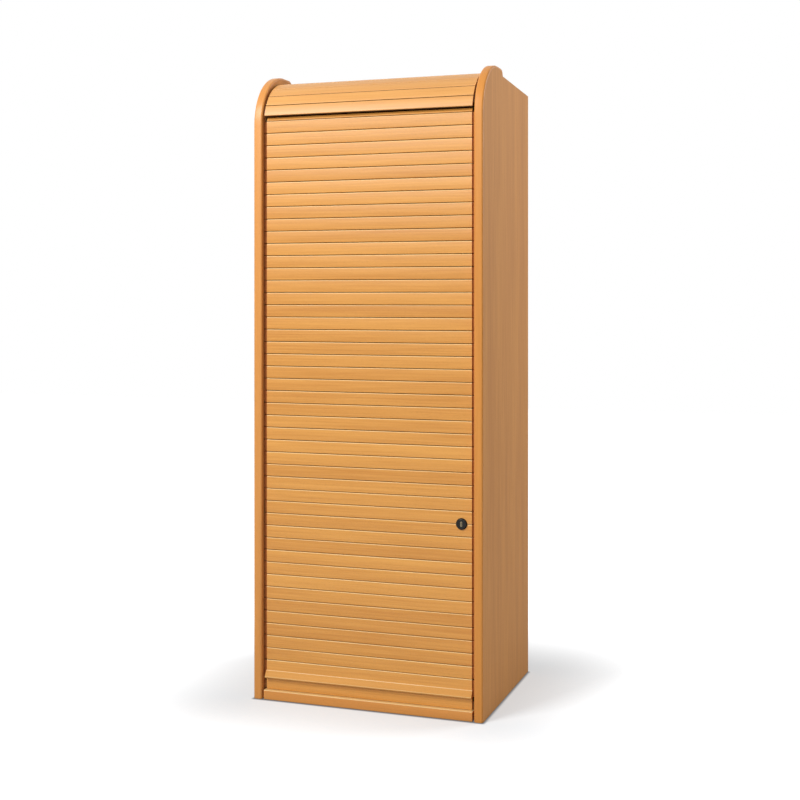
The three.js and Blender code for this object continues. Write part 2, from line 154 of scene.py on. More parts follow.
def arc(centre: Pair, radius: float, start: float, end: float, facets: int) -> list[Pair]:
    """Lists the points of an arc.

    Args:
        centre: The arc's centre in its plane.
        radius: Its radius.
        start: The angle of its first point, in degrees from the first axis.
        end: The angle of its last point, in degrees.
        facets: How many straight steps it has.

    Returns:
        One point more than there are facets.
    """
    points = []
    for step in range(facets + 1):
        angle = math.radians(start + (end - start) * step / facets)
        points.append((centre[0] + radius * math.cos(angle), centre[1] + radius * math.sin(angle)))
    return points


def circle(centre: Pair, radius: float, facets: int) -> list[Pair]:
    """Lists the points of a full circle, as many as it has facets."""
    return arc(centre, radius, 0, 360, facets)[:-1]


def rounded(corners: Sequence[Triple], facets: int) -> list[Pair]:
    """Rounds the corners of a closed profile.

    Args:
        corners: The first and second coordinate of each corner, and the radius that it gets.
        facets: How many straight steps a rounded corner has.

    Returns:
        The points of the rounded profile, in the corners' order.
    """
    points: list[Pair] = []
    count = len(corners)
    for index, (y, z, radius) in enumerate(corners):
        if radius <= 0:
            points.append((y, z))
            continue
        here = Vector((y, z))
        before = (Vector(corners[index - 1][:2]) - here).normalized()
        after = (Vector(corners[(index + 1) % count][:2]) - here).normalized()
        half = before.angle(after) / 2
        reach = radius / math.tan(half)
        centre = here + (before + after).normalized() * (radius / math.sin(half))
        start = here + before * reach - centre
        end = here + after * reach - centre
        turn = start.angle_signed(end)
        for step in range(facets + 1):
            spoke = Matrix.Rotation(-turn * step / facets, 2) @ start
            points.append(tuple(centre + spoke))
    return points


def rounding(corners: Sequence[Triple], index: int, facets: int) -> range:
    """Finds the sides of a profile made by rounded() that round one of its corners.

    Args:
        corners: The corners that rounded() is given.
        index: The corner's index among them.
        facets: How many straight steps a rounded corner has.

    Returns:
        The indices of those sides. Its stop is the index of the straight side after them.
    """
    start = sum(facets + 1 if radius > 0 else 1 for _, _, radius in corners[:index])
    return range(start, start + facets)


def band(first: int, second: int, count: int) -> list[Face]:
    """Lists the faces between two closed rings of points.

    Args:
        first: The index of the first ring's first point.
        second: The index of the second ring's first point.
        count: How many points each ring has.

    Returns:
        One face with four corners for each point of a ring.
    """
    steps = [(i, (i + 1) % count) for i in range(count)]
    return [(first + i, first + j, second + j, second + i) for i, j in steps]


def stacked(rings: int, count: int) -> list[Face]:
    """Lists the faces between rings of points that follow each other, without end faces.

    Args:
        rings: How many rings there are.
        count: How many points each ring has.

    Returns:
        The faces from the first ring to the last.
    """
    return [face for ring in range(rings - 1) for face in band(ring * count, (ring + 1) * count, count)]


def holed(outline: Sequence[Pair], hole: Sequence[Pair], hole_start: int) -> list[Face]:
    """Fills a flat outline round a hole with triangles.

    Args:
        outline: The outline's points, whose indices start at 0.
        hole: The hole's points.
        hole_start: The index of the hole's first point.

    Returns:
        The triangles.
    """
    count = len(outline)
    triangles = tessellate_polygon([[Vector((0.0, *point)) for point in ring] for ring in (outline, hole)])
    return [[i if i < count else hole_start + i - count for i in triangle] for triangle in triangles]


class Value:
    """A socket of a shader that takes part in sums."""

    def __init__(self, graph: "Graph", socket: bpy.types.NodeSocket | None) -> None:
        """Wraps an output socket of one of the graph's nodes."""
        self.graph = graph
        self.socket = socket

    def _math(self, operation: str, first: "Value | float", second: "Value | float") -> "Value":
        """Adds one Math node and returns its result."""
        return self.graph.node("ShaderNodeMath", {"operation": operation}, {0: first, 1: second})

    def __add__(self, other: "Value | float") -> "Value":
        """Returns self + other."""
        return self._math("ADD", self, other)

    __radd__ = __add__

    def __mul__(self, other: "Value | float") -> "Value":
        """Returns self * other."""
        return self._math("MULTIPLY", self, other)

    __rmul__ = __mul__

    def __sub__(self, other: "Value | float") -> "Value":
        """Returns self - other."""
        return self._math("SUBTRACT", self, other)

    def __rsub__(self, other: "Value | float") -> "Value":
        """Returns other - self."""
        return self._math("SUBTRACT", other, self)

    def __gt__(self, other: "Value | float") -> "Value":
        """Returns 1 where self is over other, and 0 elsewhere."""
        return self._math("GREATER_THAN", self, other)


class Graph:
    """The nodes of one material or of the world."""

    def __init__(self, tree: bpy.types.NodeTree) -> None:
        """Starts an empty tree."""
        self.tree = tree
        tree.nodes.clear()

    def node(
        self,
        kind: str,
        settings: Mapping[str, Any] | None = None,
        inputs: Mapping[str | int, Any] | None = None,
        output: str | int = 0,
    ) -> Value:
        """Adds a node.

        Args:
            kind: The node's type.
            settings: Its properties.
            inputs: The values or links of its sockets, by name or index.
            output: The output that is returned, by name or index.

        Returns:
            The chosen output, which is empty for a node that has none.
        """
        made = self.tree.nodes.new(kind)
        for name, value in (settings or {}).items():
            setattr(made, name, value)
        for name, value in (inputs or {}).items():
            if isinstance(value, Value):
                self.tree.links.new(value.socket, made.inputs[name])
            else:
                made.inputs[name].default_value = value
        return Value(self, made.outputs[output] if made.outputs else None)

    def mix(self, factor: Value | float, first: Any, second: Any) -> Value:
        """Mixes two colours.

        Args:
            factor: 0 for the first colour, 1 for the second.
            first: A colour or a link.
            second: A colour or a link.

        Returns:
            The mixed colour.
        """
        settings = {"data_type": "RGBA", "clamp_factor": True}
        factor_input, first_input, second_input, colour_output = 0, 6, 7, 2
        inputs = {factor_input: factor, first_input: first, second_input: second}
        return self.node("ShaderNodeMix", settings, inputs, colour_output)

    def vector(self, operation: str, first: Any, second: Any = None, output: str = "Vector") -> Value:
        """Adds one Vector Math node.

        Args:
            operation: What it does.
            first: A vector or a link.
            second: A vector or a link, where the operation takes two.
            output: The output that is returned.

        Returns:
            The chosen output.
        """
        inputs = {0: first} if second is None else {0: first, 1: second}
        return self.node("ShaderNodeVectorMath", {"operation": operation}, inputs, output)

    def attribute(self, name: str, output: str) -> Value:
        """Reads a value that the mesh stores at its points."""
        return self.node("ShaderNodeAttribute", {"attribute_name": name}, output=output)

    def place(self) -> Value:
        """Returns the place in the object's own axes, in metres."""
        return self.node("ShaderNodeTexCoord", output="Object")

    def noise(self, vector: Value, stretch: Triple, detail: float, distortion: float = 0.0) -> Value:
        """Adds noise that is stretched along the grain.

        Args:
            vector: The place in the material, in metres.
            stretch: How many spots there are per metre along each axis.
            detail: How many finer layers are added.
            distortion: How far the spots are pulled about.

        Returns:
            Noise from 0 to 1.
        """
        stretched = self.vector("MULTIPLY", vector, stretch)
        inputs = {"Vector": stretched, "Scale": 1.0, "Detail": detail, "Distortion": distortion}
        return self.node("ShaderNodeTexNoise", {}, inputs)

    def bump(self, height: Value, strength: float, distance: float) -> Value:
        """Turns a height into a bumped normal."""
        inputs = {"Strength": strength, "Distance": distance, "Height": height}
        return self.node("ShaderNodeBump", {}, inputs)

    def surface(self, inputs: Mapping[str, Any]) -> None:
        """Ends a material in one Principled shader with the given inputs."""
        shader = self.node("ShaderNodeBsdfPrincipled", {}, inputs)
        self.node("ShaderNodeOutputMaterial", {}, {"Surface": shader})


def new_graph(name: str) -> tuple[bpy.types.Material, Graph]:
    """Starts a material and its graph."""
    material = bpy.data.materials.new(name)
    material.use_nodes = True
    return material, Graph(material.node_tree)


@dataclass(frozen=True)
class Wood:
    """Lacquered wood with straight grain, read from the mesh's stored grain.

    Attributes:
        name: The material's name.
        pale: The lightest colour of the wood.
        deep: The darkest colour of its streaks.
        streaks: How strongly the narrow streaks show.
        figure: How strongly the broad bands show.
        roughness: The lacquer's mean roughness.
        gloss: How strongly the lacquer reflects, 0.5 for clear lacquer.
        fibre_depth: The depth of the fibres under the lacquer.
        fibre_contrast: How strongly the fibres show in the colour.
        board_contrast: How far the boards differ from each other.
        fleck_cut: The noise over which there is a fleck.
        fleck_strength: How strongly a fleck shows.
        fleck_shade: The flecks' colour, as a share of the deep one.
    """

    name: str
    pale: Colour
    deep: Colour
    streaks: float
    figure: float
    roughness: float
    gloss: float = 0.35
    fibre_depth: float = 0.06 * MM
    fibre_contrast: float = 0.35
    board_contrast: float = 0.22
    fleck_cut: float = 0.72
    fleck_strength: float = 0.28
    fleck_shade: float = 0.72

    def build(self) -> bpy.types.Material:
        """Makes the material."""
        material, graph = new_graph(self.name)
        grain = graph.attribute("grain", "Vector")
        tone = graph.attribute("tone", "Fac")
        bands = graph.noise(grain, (1.1, 19.0, 19.0), detail=2.0, distortion=0.4)
        streaks = graph.noise(grain, (4.5, 260.0, 260.0), detail=3.0, distortion=0.3)
        fibres = graph.noise(grain, (55.0, 1500.0, 1500.0), detail=2.0)
        flecks = graph.noise(grain, (260.0, 1900.0, 1900.0), detail=0.0)
        paleness = (
            NOISE_MEAN
            + (bands - NOISE_MEAN) * self.figure
            + (streaks - NOISE_MEAN) * self.streaks
            + (fibres - NOISE_MEAN) * self.fibre_contrast
            + tone * self.board_contrast
        )
        fleck = (flecks > self.fleck_cut) * self.fleck_strength
        wood = graph.mix(paleness, linear(self.deep), linear(self.pale))
        fleck_colour = linear(shade(self.deep, self.fleck_shade))
        fibre_share, band_share = 0.12, 0.06
        unevenness = (fibres - NOISE_MEAN) * fibre_share + (bands - NOISE_MEAN) * band_share
        fibre_rise = 0.7
        height = fibres * fibre_rise + (1 - fleck) * (1 - fibre_rise)
        graph.surface({
            "Base Color": graph.mix(fleck, wood, fleck_colour),
            "Roughness": self.roughness + unevenness,
            "Specular IOR Level": self.gloss,
            "Normal": graph.bump(height, strength=0.35, distance=self.fibre_depth),
        })
        return material


@dataclass(frozen=True)
class Metal:
    """Plated metal with a fine uneven sheen.

    Attributes:
        name: The material's name.
        colour: Its lightest colour.
        roughness: Its mean roughness.
        unevenness: How far its roughness varies.
        cloud_shade: The colour of its clouds, as a share of the lightest.
    """

    name: str
    colour: Colour
    roughness: float
    unevenness: float = 0.16
    cloud_shade: float = 0.8

    def build(self) -> bpy.types.Material:
        """Makes the material."""
        material, graph = new_graph(self.name)
        place = graph.place()
        cloud = graph.noise(place, (220.0, 220.0, 220.0), detail=3.0)
        scuffs = graph.noise(place, (1400.0, 1400.0, 180.0), detail=2.0)
        darker = linear(shade(self.colour, self.cloud_shade))
        graph.surface({
            "Base Color": graph.mix(cloud, darker, linear(self.colour)),
            "Metallic": 1.0,
            "Roughness": self.roughness + (scuffs - NOISE_MEAN) * self.unevenness,
            "Normal": graph.bump(scuffs, strength=0.15, distance=0.03 * MM),
        })
        return material


@dataclass(frozen=True)
class Lacquer:
    """Satin paint or moulded plastic with a faint grain in its surface.

    Attributes:
        name: The material's name.
        colour: Its darkest colour.
        roughness: Its mean roughness.
        unevenness: How far its roughness varies.
        lift: How much lighter its clouds are, out of 255.
        gloss: How strongly it reflects.
    """

    name: str
    colour: Colour
    roughness: float
    unevenness: float = 0.12
    lift: int = 10
    gloss: float = 0.2

    def build(self) -> bpy.types.Material:
        """Makes the material."""
        material, graph = new_graph(self.name)
        place = graph.place()
        grain = graph.noise(place, (2600.0, 2600.0, 2600.0), detail=2.0)
        cloud = graph.noise(place, (90.0, 90.0, 90.0), detail=2.0)
        lighter = tuple(part + self.lift for part in self.colour)
        graph.surface({
            "Base Color": graph.mix(cloud, linear(self.colour), linear(lighter)),
            "Roughness": self.roughness + (grain - NOISE_MEAN) * self.unevenness,
            "Specular IOR Level": self.gloss,
            "Normal": graph.bump(grain, strength=0.12, distance=0.04 * MM),
        })
        return material


@dataclass(frozen=True)
class Canvas:
    """Plain-woven cotton canvas.

    Attributes:
        name: The material's name.
        colour: The colour of its threads' tops.
        thread: The width of a thread.
        thread_depth: How far the weave stands out.
        soil_share: How much of the unevenness is soil, and not the weave.
        shadow_shade: The colour between the threads, as a share of the tops'.
    """

    name: str
    colour: Colour
    thread: float = 0.9 * MM
    thread_depth: float = 0.2 * MM
    soil_share: float = 0.4
    shadow_shade: float = 0.7

    def build(self) -> bpy.types.Material:
        """Makes the material."""
        material, graph = new_graph(self.name)
        place = graph.attribute("grain", "Vector")
        weave = self._threads(graph, place, "X") * self._threads(graph, place, "Z")
        soil = graph.noise(place, (30.0, 30.0, 30.0), detail=3.0)
        height = weave * (1 - self.soil_share) + soil * self.soil_share
        darker = linear(shade(self.colour, self.shadow_shade))
        graph.surface({
            "Base Color": graph.mix(height, darker, linear(self.colour)),
            "Roughness": 0.9,
            "Normal": graph.bump(weave, strength=0.5, distance=self.thread_depth),
        })
        return material

    def _threads(self, graph: Graph, place: Value, direction: str) -> Value:
        """Adds the ridges of one set of threads."""
        settings = {"wave_type": "BANDS", "bands_direction": direction, "wave_profile": "SIN"}
        scale = 1 / (self.thread * math.tau)
        return graph.node("ShaderNodeTexWave", settings, {"Vector": place, "Scale": scale})


@dataclass(frozen=True)
class Finishes:
    """Every material of the cabinet, made once."""

    slat: bpy.types.Material
    # edge is a paler beech painted on upper rounded edges as a highlight.
    edge: bpy.types.Material
    hood: bpy.types.Material
    lipping: bpy.types.Material
    deep_lipping: bpy.types.Material
    lip: bpy.types.Material
    veneer: bpy.types.Material
    inside: bpy.types.Material
    back: bpy.types.Material
    hardboard: bpy.types.Material
    canvas: bpy.types.Material
    runner: bpy.types.Material
    zinc: bpy.types.Material
    nickel: bpy.types.Material
    black: bpy.types.Material
    glide: bpy.types.Material

    @staticmethod
    def made() -> "Finishes":
        """Makes every material."""
        # A darker copy of the lipping beech for the right lipping: painted shade for the side that the key
        # lamp lights less.
        deep = Wood("deep_lipping_beech", (220, 148, 72), (199, 128, 58), 0.9, 0.9, 0.4, gloss=0.2)
        return Finishes(
            slat=Wood("slat_beech", (224, 160, 79), (201, 135, 60), 1.6, 0.9, 0.33, gloss=0.4).build(),
            # Painted highlight: the paler beech of the upper rounded edges.
            edge=Wood("edge_beech", (235, 201, 138), (221, 178, 112), 0.9, 0.9, 0.33).build(),
            hood=Wood("hood_beech", (228, 168, 96), (207, 145, 77), 1.6, 1.0, 0.38).build(),
            lipping=Wood("lipping_beech", (227, 156, 80), (206, 136, 65), 0.9, 0.9, 0.36).build(),
            deep_lipping=deep.build(),
            lip=Wood("lip_beech", (226, 165, 92), (206, 146, 74), 1.0, 0.9, 0.6, gloss=0.1).build(),
            veneer=Wood("side_veneer", (214, 152, 88), (188, 127, 71), 1.3, 1.4, 0.66, gloss=0.15).build(),
            inside=Wood("inside_veneer", (214, 160, 104), (188, 132, 80), 1.0, 1.3, 0.5).build(),
            back=Wood("back_board", (196, 146, 98), (172, 122, 78), 0.8, 1.2, 0.6).build(),
            # Hardboard: the bent sheet's own colour, also painted on the hood staves' joint faces as
            # shade.
            hardboard=Wood("hardboard", (104, 64, 34), (84, 50, 26), 0.4, 0.6, 0.7).build(),
            # The canvas is dark brown partly so that the joints between the slats read dark: in part
            # painted shade.
            canvas=Canvas("cotton_canvas", (84, 60, 40)).build(),
            # The tongues' sleeves: plastic runners in a darker brown, partly painted shade so the gaps at
            # the curtain's ends read dark.
            runner=Lacquer("shaded_runner_plastic", (180, 104, 50), 0.6).build(),
            zinc=Metal("zinc_plate", (196, 198, 200), 0.38).build(),
            nickel=Metal("dull_nickel", (138, 127, 102), 0.4).build(),
            black=Lacquer("black_lacquer", (20, 20, 18), 0.3).build(),
            glide=Lacquer("glide_plastic", (46, 42, 38), 0.55).build(),
        )


class Shape:
    """Collects the closed shells of one piece and turns them into an object."""

    def __init__(self, name: str, rng: random.Random) -> None:
        """Starts an empty piece."""
        self.name = name
        self.rng = rng
        self.points: list[Triple] = []
        self.grain: list[Triple] = []
        self.tones: list[float] = []
        self.faces: list[tuple[int, ...]] = []
        self.coats: list[int] = []

    def shell(
        self,
        points: Sequence[Triple],
        faces: Sequence[Face],
        run: Run | Sequence[Triple] = Run.ACROSS,
        coat: Coat = Coat.BODY,
    ) -> None:
        """Adds one closed shell, at a random place in the wood.

        Args:
            points: Its points.
            faces: Its faces, as indices into the points.
            run: The way of its grain, or the place in the wood of each of its points.
            coat: The finish that it gets.
        """
        start = len(self.points)
        spread = 9
        shift = Vector([self.rng.uniform(-spread, spread) for _ in range(3)])
        tone = self.rng.uniform(-1, 1)
        places = [self._along(point, run) for point in points] if isinstance(run, Run) else run
        self.points.extend(points)
        self.grain.extend(tuple(Vector(place) + shift) for place in places)
        self.tones.extend([tone] * len(points))
        self.faces.extend(tuple(start + index for index in face) for face in faces)
        self.coats.extend([int(coat)] * len(faces))

    @staticmethod
    def _along(point: Triple, run: Run) -> Triple:
        """Returns the point with the grain's axis first."""
        rest = [point[axis] for axis in range(3) if axis != run.value]
        return (point[run.value], *rest)

    def _recoat(self, count: int, faces: Iterable[int], coat: Coat) -> None:
        """Gives some faces of the last shell another finish.

        Args:
            count: How many faces that shell has.
            faces: Their indices in that shell.
            coat: The finish that they get.
        """
        for index in faces:
            self.coats[len(self.coats) - count + index] = int(coat)

    def prism(self, profile: Sequence[Pair], x0: float, x1: float, accent: Iterable[int] = ()) -> None:
        """Adds a profile in (y, z) that runs from x0 to x1.

        Args:
            profile: The profile's points.
            x0: Where it starts.
            x1: Where it ends.
            accent: The sides of the profile that get the accent finish.
        """
        count = len(profile)
        points = [(x, y, z) for x in (x0, x1) for y, z in profile]
        faces = [*band(0, count, count), range(count), range(count, 2 * count)]
        self.shell(points, faces)
        self._recoat(len(faces), accent, Coat.ACCENT)

    def tongued(
        self,
        body: Sequence[Pair],
        tongue: Sequence[Pair],
        half: float,
        reach: float,
        arris: Iterable[int],
    ) -> None:
        """Adds a slat with a thinner tongue on each end, sleeved in the runner's finish, a darker brown
        that is in part painted shade for the gaps at the ends.

        Args:
            body: The slat's profile in (y, z).
            tongue: The tongue's profile, inside the slat's.
            half: Half of the slat's length without its tongues.
            reach: Half of its length with them.
            arris: The sides of the slat's profile that get the painted highlight.
        """
        n, m = len(body), len(tongue)
        points: list[Triple] = []
        faces: list[Face] = []
        runners: list[int] = []
        ends = holed(body, tongue, n)
        for sign in (-1, 1):
            start = len(points)
            for x, profile in ((half, body), (half, tongue), (reach, tongue)):
                points.extend((sign * x, y, z) for y, z in profile)
            inner, outer = start + n, start + n + m
            faces.extend([start + index for index in triangle] for triangle in ends)
            first = len(faces)
            faces.extend([*band(inner, outer, m), range(outer, outer + m)])
            runners.extend(range(first, len(faces)))
        sides = len(faces)
        faces.extend(band(0, n + 2 * m, n))
        self.shell(points, faces)
        self._recoat(len(faces), runners, Coat.RUNNER)
        self._recoat(len(faces), [sides + index for index in arris], Coat.ARRIS)

    def plank(
        self,
        corner: Vector,
        opposite: Vector,
        run: Run,
        ease: float = 0.6 * MM,
        coat: Coat = Coat.BODY,
    ) -> None:
        """Adds a board between two corners, with eased edges.

        Args:
            corner: Its lowest corner.
            opposite: Its highest corner.
            run: The way of its grain.
            ease: How far its edges are rounded.
            coat: The finish that it gets.
        """
        stretch = Matrix.Diagonal((*(opposite - corner), 1.0))
        mesh = bmesh.new()
        bmesh.ops.create_cube(mesh, size=1.0, matrix=Matrix.Translation((opposite + corner) / 2) @ stretch)
        bmesh.ops.bevel(mesh, geom=list(mesh.edges), offset=ease, segments=2, profile=0.5, affect="EDGES")
        mesh.verts.index_update()
        points = [tuple(vertex.co) for vertex in mesh.verts]
        faces = [[vertex.index for vertex in face.verts] for face in mesh.faces]
        mesh.free()
        self.shell(points, faces, run, coat)

    def turned(
        self,
        profile: Sequence[Pair],
        centre: Vector,
        facets: int,
        coat: Coat = Coat.BODY,
    ) -> None:
        """Adds a body turned about an axis along Y.

        Args:
            profile: Points of (radius, y), which close on themselves or start and end on the axis.
            centre: A point on the axis.
            facets: How many steps go round it.
            coat: The finish that it gets.
        """
        rings: list[Face] = []
        points: list[Triple] = []
        for radius, y in profile:
            if radius > 0:
                rings.append(range(len(points), len(points) + facets))
                points.extend((x, y, z) for x, z in circle((centre.x, centre.z), radius, facets))
            else:
                rings.append([len(points)] * facets)
                points.append((centre.x, y, centre.z))
        if profile[0][0] > 0:
            rings.append(rings[0])
        faces: list[Face] = []
        for near, far in zip(rings, rings[1:]):
            for i in range(facets):
                j = (i + 1) % facets
                face = list(dict.fromkeys((near[i], near[j], far[j], far[i])))
                if len(face) > 2:
                    faces.append(face)
        self.shell(points, faces, Run.ACROSS, coat)

    def made(self, *materials: bpy.types.Material) -> bpy.types.Object:
        """Turns the shells into an object.

        Args:
            materials: The object's materials, in the order of Coat.

        Returns:
            The object, linked to the scene.
        """
        mesh = bpy.data.meshes.new(self.name)
        mesh.from_pydata(self.points, [], self.faces)
        mesh.polygons.foreach_set("material_index", self.coats)
        grain = mesh.attributes.new("grain", "FLOAT_VECTOR", "POINT")
        grain.data.foreach_set("vector", [part for place in self.grain for part in place])
        tone = mesh.attributes.new("tone", "FLOAT", "POINT")
        tone.data.foreach_set("value", self.tones)
        surface = bmesh.new()
        surface.from_mesh(mesh)
        bmesh.ops.recalc_face_normals(surface, faces=list(surface.faces))
        surface.to_mesh(mesh)
        surface.free()
        mesh.polygons.foreach_set("use_smooth", [True] * len(mesh.polygons))
        mesh.set_sharp_from_angle(angle=math.radians(SHARP_DEGREES))
        for material in materials:
            mesh.materials.append(material)
        return linked(self.name, mesh)


@dataclass
class Bench:
    """What every sub-assembly is built with."""

    finishes: Finishes
    rng: random.Random = field(default_factory=lambda: random.Random(SEED))

    def shape(self, name: str) -> Shape:
        """Starts a piece."""
        return Shape(name, self.rng)

    @staticmethod
    def place(piece: bpy.types.Object, slot: str, *nodes: str, body: str = CABINET) -> None:
        """Hangs a piece on the frame.

        Args:
            piece: The finished object.
            slot: The name of one of the record's material slots; it is not used.
            nodes: The nodes of the frame that it stands for.
            body: The body that it rides on.
        """
        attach(piece, body)
        if nodes:
            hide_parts(*nodes)
        log.info("%s rides on %s, %d faces", piece.name, body, len(piece.data.polygons))


@dataclass
class SideBoards:
    """The two veneered side boards, with their lipping, grooves and glides.

    Attributes:
        rim_flat: The level stretch between the arch and the nose.
        glue_line: The gap between a board and its lipping.
        foot_ease: How far the lipping's edges are eased at its foot.
        back_drop: How far a board's rear corner lies under the top panel's face.
        groove_half: Half of the groove's width.
        track_radius: The radius of the groove's middle line in its two bends.
        track_setback: How far the groove's front run lies behind the lipping's face.
        bend_height: The height of the bends' centres.
        rear_inset: How far its rear run lies inside the board's rear edge.
        rear_end: The height of its lower end at the back.
    """

    bench: Bench
    arch_radius: float = 150 * MM
    rim_flat: float = 36 * MM
    nose_radius: float = 19 * MM
    lipping_depth: float = 6 * MM
    lipping_round: float = 5 * MM
    lipping_arris: float = 0.3 * MM
    glue_line: float = 0.03 * MM
    ease: float = 0.7 * MM
    foot_ease: float = 1.2 * MM
    back_drop: float = 1 * MM
    groove_depth: float = 9 * MM
    groove_half: float = 4.25 * MM
    track_radius: float = 87.25 * MM
    track_setback: float = 19.75 * MM
    bend_height: float = 1550 * MM
    rear_inset: float = 19 * MM
    rear_end: float = 471 * MM
    arch_facets: int = 56
    nose_facets: int = 14
    lipping_facets: int = 7
    glide_facets: int = 40

    def __post_init__(self) -> None:
        """Reads the places of the boards from the frame."""
        self.front = low("lipping_right").y
        self.back = high("side_right").y
        self.foot = low("side_right").z
        self.top = high("lipping_right").z
        self.inner = low("side_right").x
        self.outer = high("side_right").x
        self.back_top = high("top_panel").z - self.back_drop
        self.track_foot = high("bottom_rail").z
        self.track_y = self.front + self.track_setback

    def build(self) -> None:
        """Makes both boards with everything on them."""
        for side in Side:
            self._board(side)
            self._lipping(side)
            for place in ("front", "back"):
                self._glide(f"glide_{place}_{side.word}")

    def _edge(self, inset: float) -> list[Pair]:
        """Lists the points of the front edge, arch, rim and nose, moved inwards.

        Args:
            inset: How far inside the finished edge the points lie.

        Returns:
            Points in (y, z) from the foot up.
        """
        arch = (self.front + self.arch_radius, self.top - self.arch_radius)
        nose = (arch[0] + self.rim_flat, self.top - self.nose_radius)
        return [
            (self.front + inset, self.foot),
            *arc(arch, self.arch_radius - inset, 180, 90, self.arch_facets),
            *arc(nose, self.nose_radius - inset, 90, 0, self.nose_facets),
        ]

    def _track(self) -> list[Pair]:
        """Lists the points of the groove's outline, up the front and down the back."""
        outer = self.track_radius + self.groove_half
        inner = self.track_radius - self.groove_half
        front = (self.track_y + self.track_radius, self.bend_height)
        rear_y = self.back - self.rear_inset
        rear = (rear_y - self.track_radius, self.bend_height)
        facets = self.arch_facets // 2
        return [
            (self.track_y - self.groove_half, self.track_foot),
            *arc(front, outer, 180, 90, facets),
            *arc(rear, outer, 90, 0, facets),
            (rear_y + self.groove_half, self.rear_end),
            (rear_y - self.groove_half, self.rear_end),
            *arc(rear, inner, 0, 90, facets),
            *arc(front, inner, 90, 180, facets),
            (self.track_y + self.groove_half, self.track_foot),
        ]

    def _outline(self, inset: float) -> list[Pair]:
        """Lists the points of a board's outline, with its free edges moved inwards."""
        start, *front = self._edge(self.lipping_depth + self.glue_line)
        back = self.back - inset
        return [
            (start[0], start[1] + inset),
            *front,
            (back, self.back_top - inset),
            (back, self.foot + inset),
        ]

    def _board(self, side: Side) -> None:
        """Makes one board, with the groove in its inner face."""
        eased, full, groove = self._outline(self.ease), self._outline(0.0), self._track()
        outlines = [
            (self.inner, eased),
            (self.inner + self.ease, full),
            (self.outer - self.ease, full),
            (self.outer, eased),
        ]
        grooves = [(self.inner, groove), (self.inner + self.groove_depth, groove)]
        points = [(side.value * x, y, z) for x, ring in outlines + grooves for y, z in ring]
        n, m = len(full), len(groove)
        mouth = len(outlines) * n
        floor = mouth + m
        faces = [
            *stacked(len(outlines), n),
            range(mouth - n, mouth),
            *band(mouth, floor, m),
            range(floor, floor + m),
            *holed(eased, groove, mouth),
        ]
        shape = self.bench.shape(f"side_board_{side.word}")
        shape.shell(points, faces, Run.UP)
        board = shape.made(self.bench.finishes.veneer)
        self.bench.place(board, "board", f"side_{side.word}")

    def _lipping(self, side: Side) -> None:
        """Makes the solid band round the front, arch and nose of one board."""
        half = (self.outer - self.inner) / 2
        depth = self.lipping_depth
        section = rounded([
            (-half, depth, self.lipping_arris),
            (-half, 0.0, self.lipping_round),
            (half, 0.0, self.lipping_round),
            (half, depth, self.lipping_arris),
        ], self.lipping_facets)
        outer, inner = self._edge(0.0), self._edge(depth)
        middle = side.value * (self.inner + half)
        points: list[Triple] = []
        grain: list[Triple] = []
        narrowing = 1 - self.foot_ease / half
        for across, inwards in section:
            y = outer[0][0] + depth / 2 + (inwards - depth / 2) * narrowing
            points.append((middle + across * narrowing, y, self.foot))
            grain.append((0.0, across, inwards))
        outer[0] = (outer[0][0], self.foot + self.foot_ease)
        inner[0] = (inner[0][0], self.foot + self.foot_ease)
        run = self.foot_ease
        for index, (rim, root) in enumerate(zip(outer, inner)):
            if index:
                run += math.dist(rim, outer[index - 1])
            for across, inwards in section:
                share = inwards / depth
                y = rim[0] + (root[0] - rim[0]) * share
                z = rim[1] + (root[1] - rim[1]) * share
                points.append((middle + across, y, z))
                grain.append((run, across, inwards))
        n = len(section)
        faces = [*stacked(len(outer) + 1, n), range(n), range(len(points) - n, len(points))]
        shape = self.bench.shape(f"front_lipping_{side.word}")
        shape.shell(points, faces, grain)
        finishes = self.bench.finishes
        # The right lipping takes the darker copy: painted shade.
        strip = shape.made(finishes.lipping if side is Side.LEFT else finishes.deep_lipping)
        self.bench.place(strip, "lipping", f"lipping_{side.word}")

    def _glide(self, node: str) -> None:
        """Makes one nailed-on plastic glide, rounded towards the floor.

        Its steps are how many millimetres each ring lies inside the edge, and the ring's share of
        the height.
        """
        corner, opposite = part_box(node)
        middle = (corner + opposite) / 2
        radius = (opposite.x - corner.x) / 2
        height = opposite.z - corner.z
        steps = [(1.2, 0.0), (0.3, 0.35), (0.0, 0.6), (0.0, 1.0)]
        n = self.glide_facets
        points = [
            (x, y, height * share)
            for inset, share in steps
            for x, y in circle((middle.x, middle.y), radius - inset * MM, n)
        ]
        faces = [range(n), range(len(points) - n, len(points)), *stacked(len(steps), n)]
        shape = self.bench.shape(node.replace("glide", "foot_glide"))
        shape.shell(points, faces)
        self.bench.place(shape.made(self.bench.finishes.glide), "glide", node)


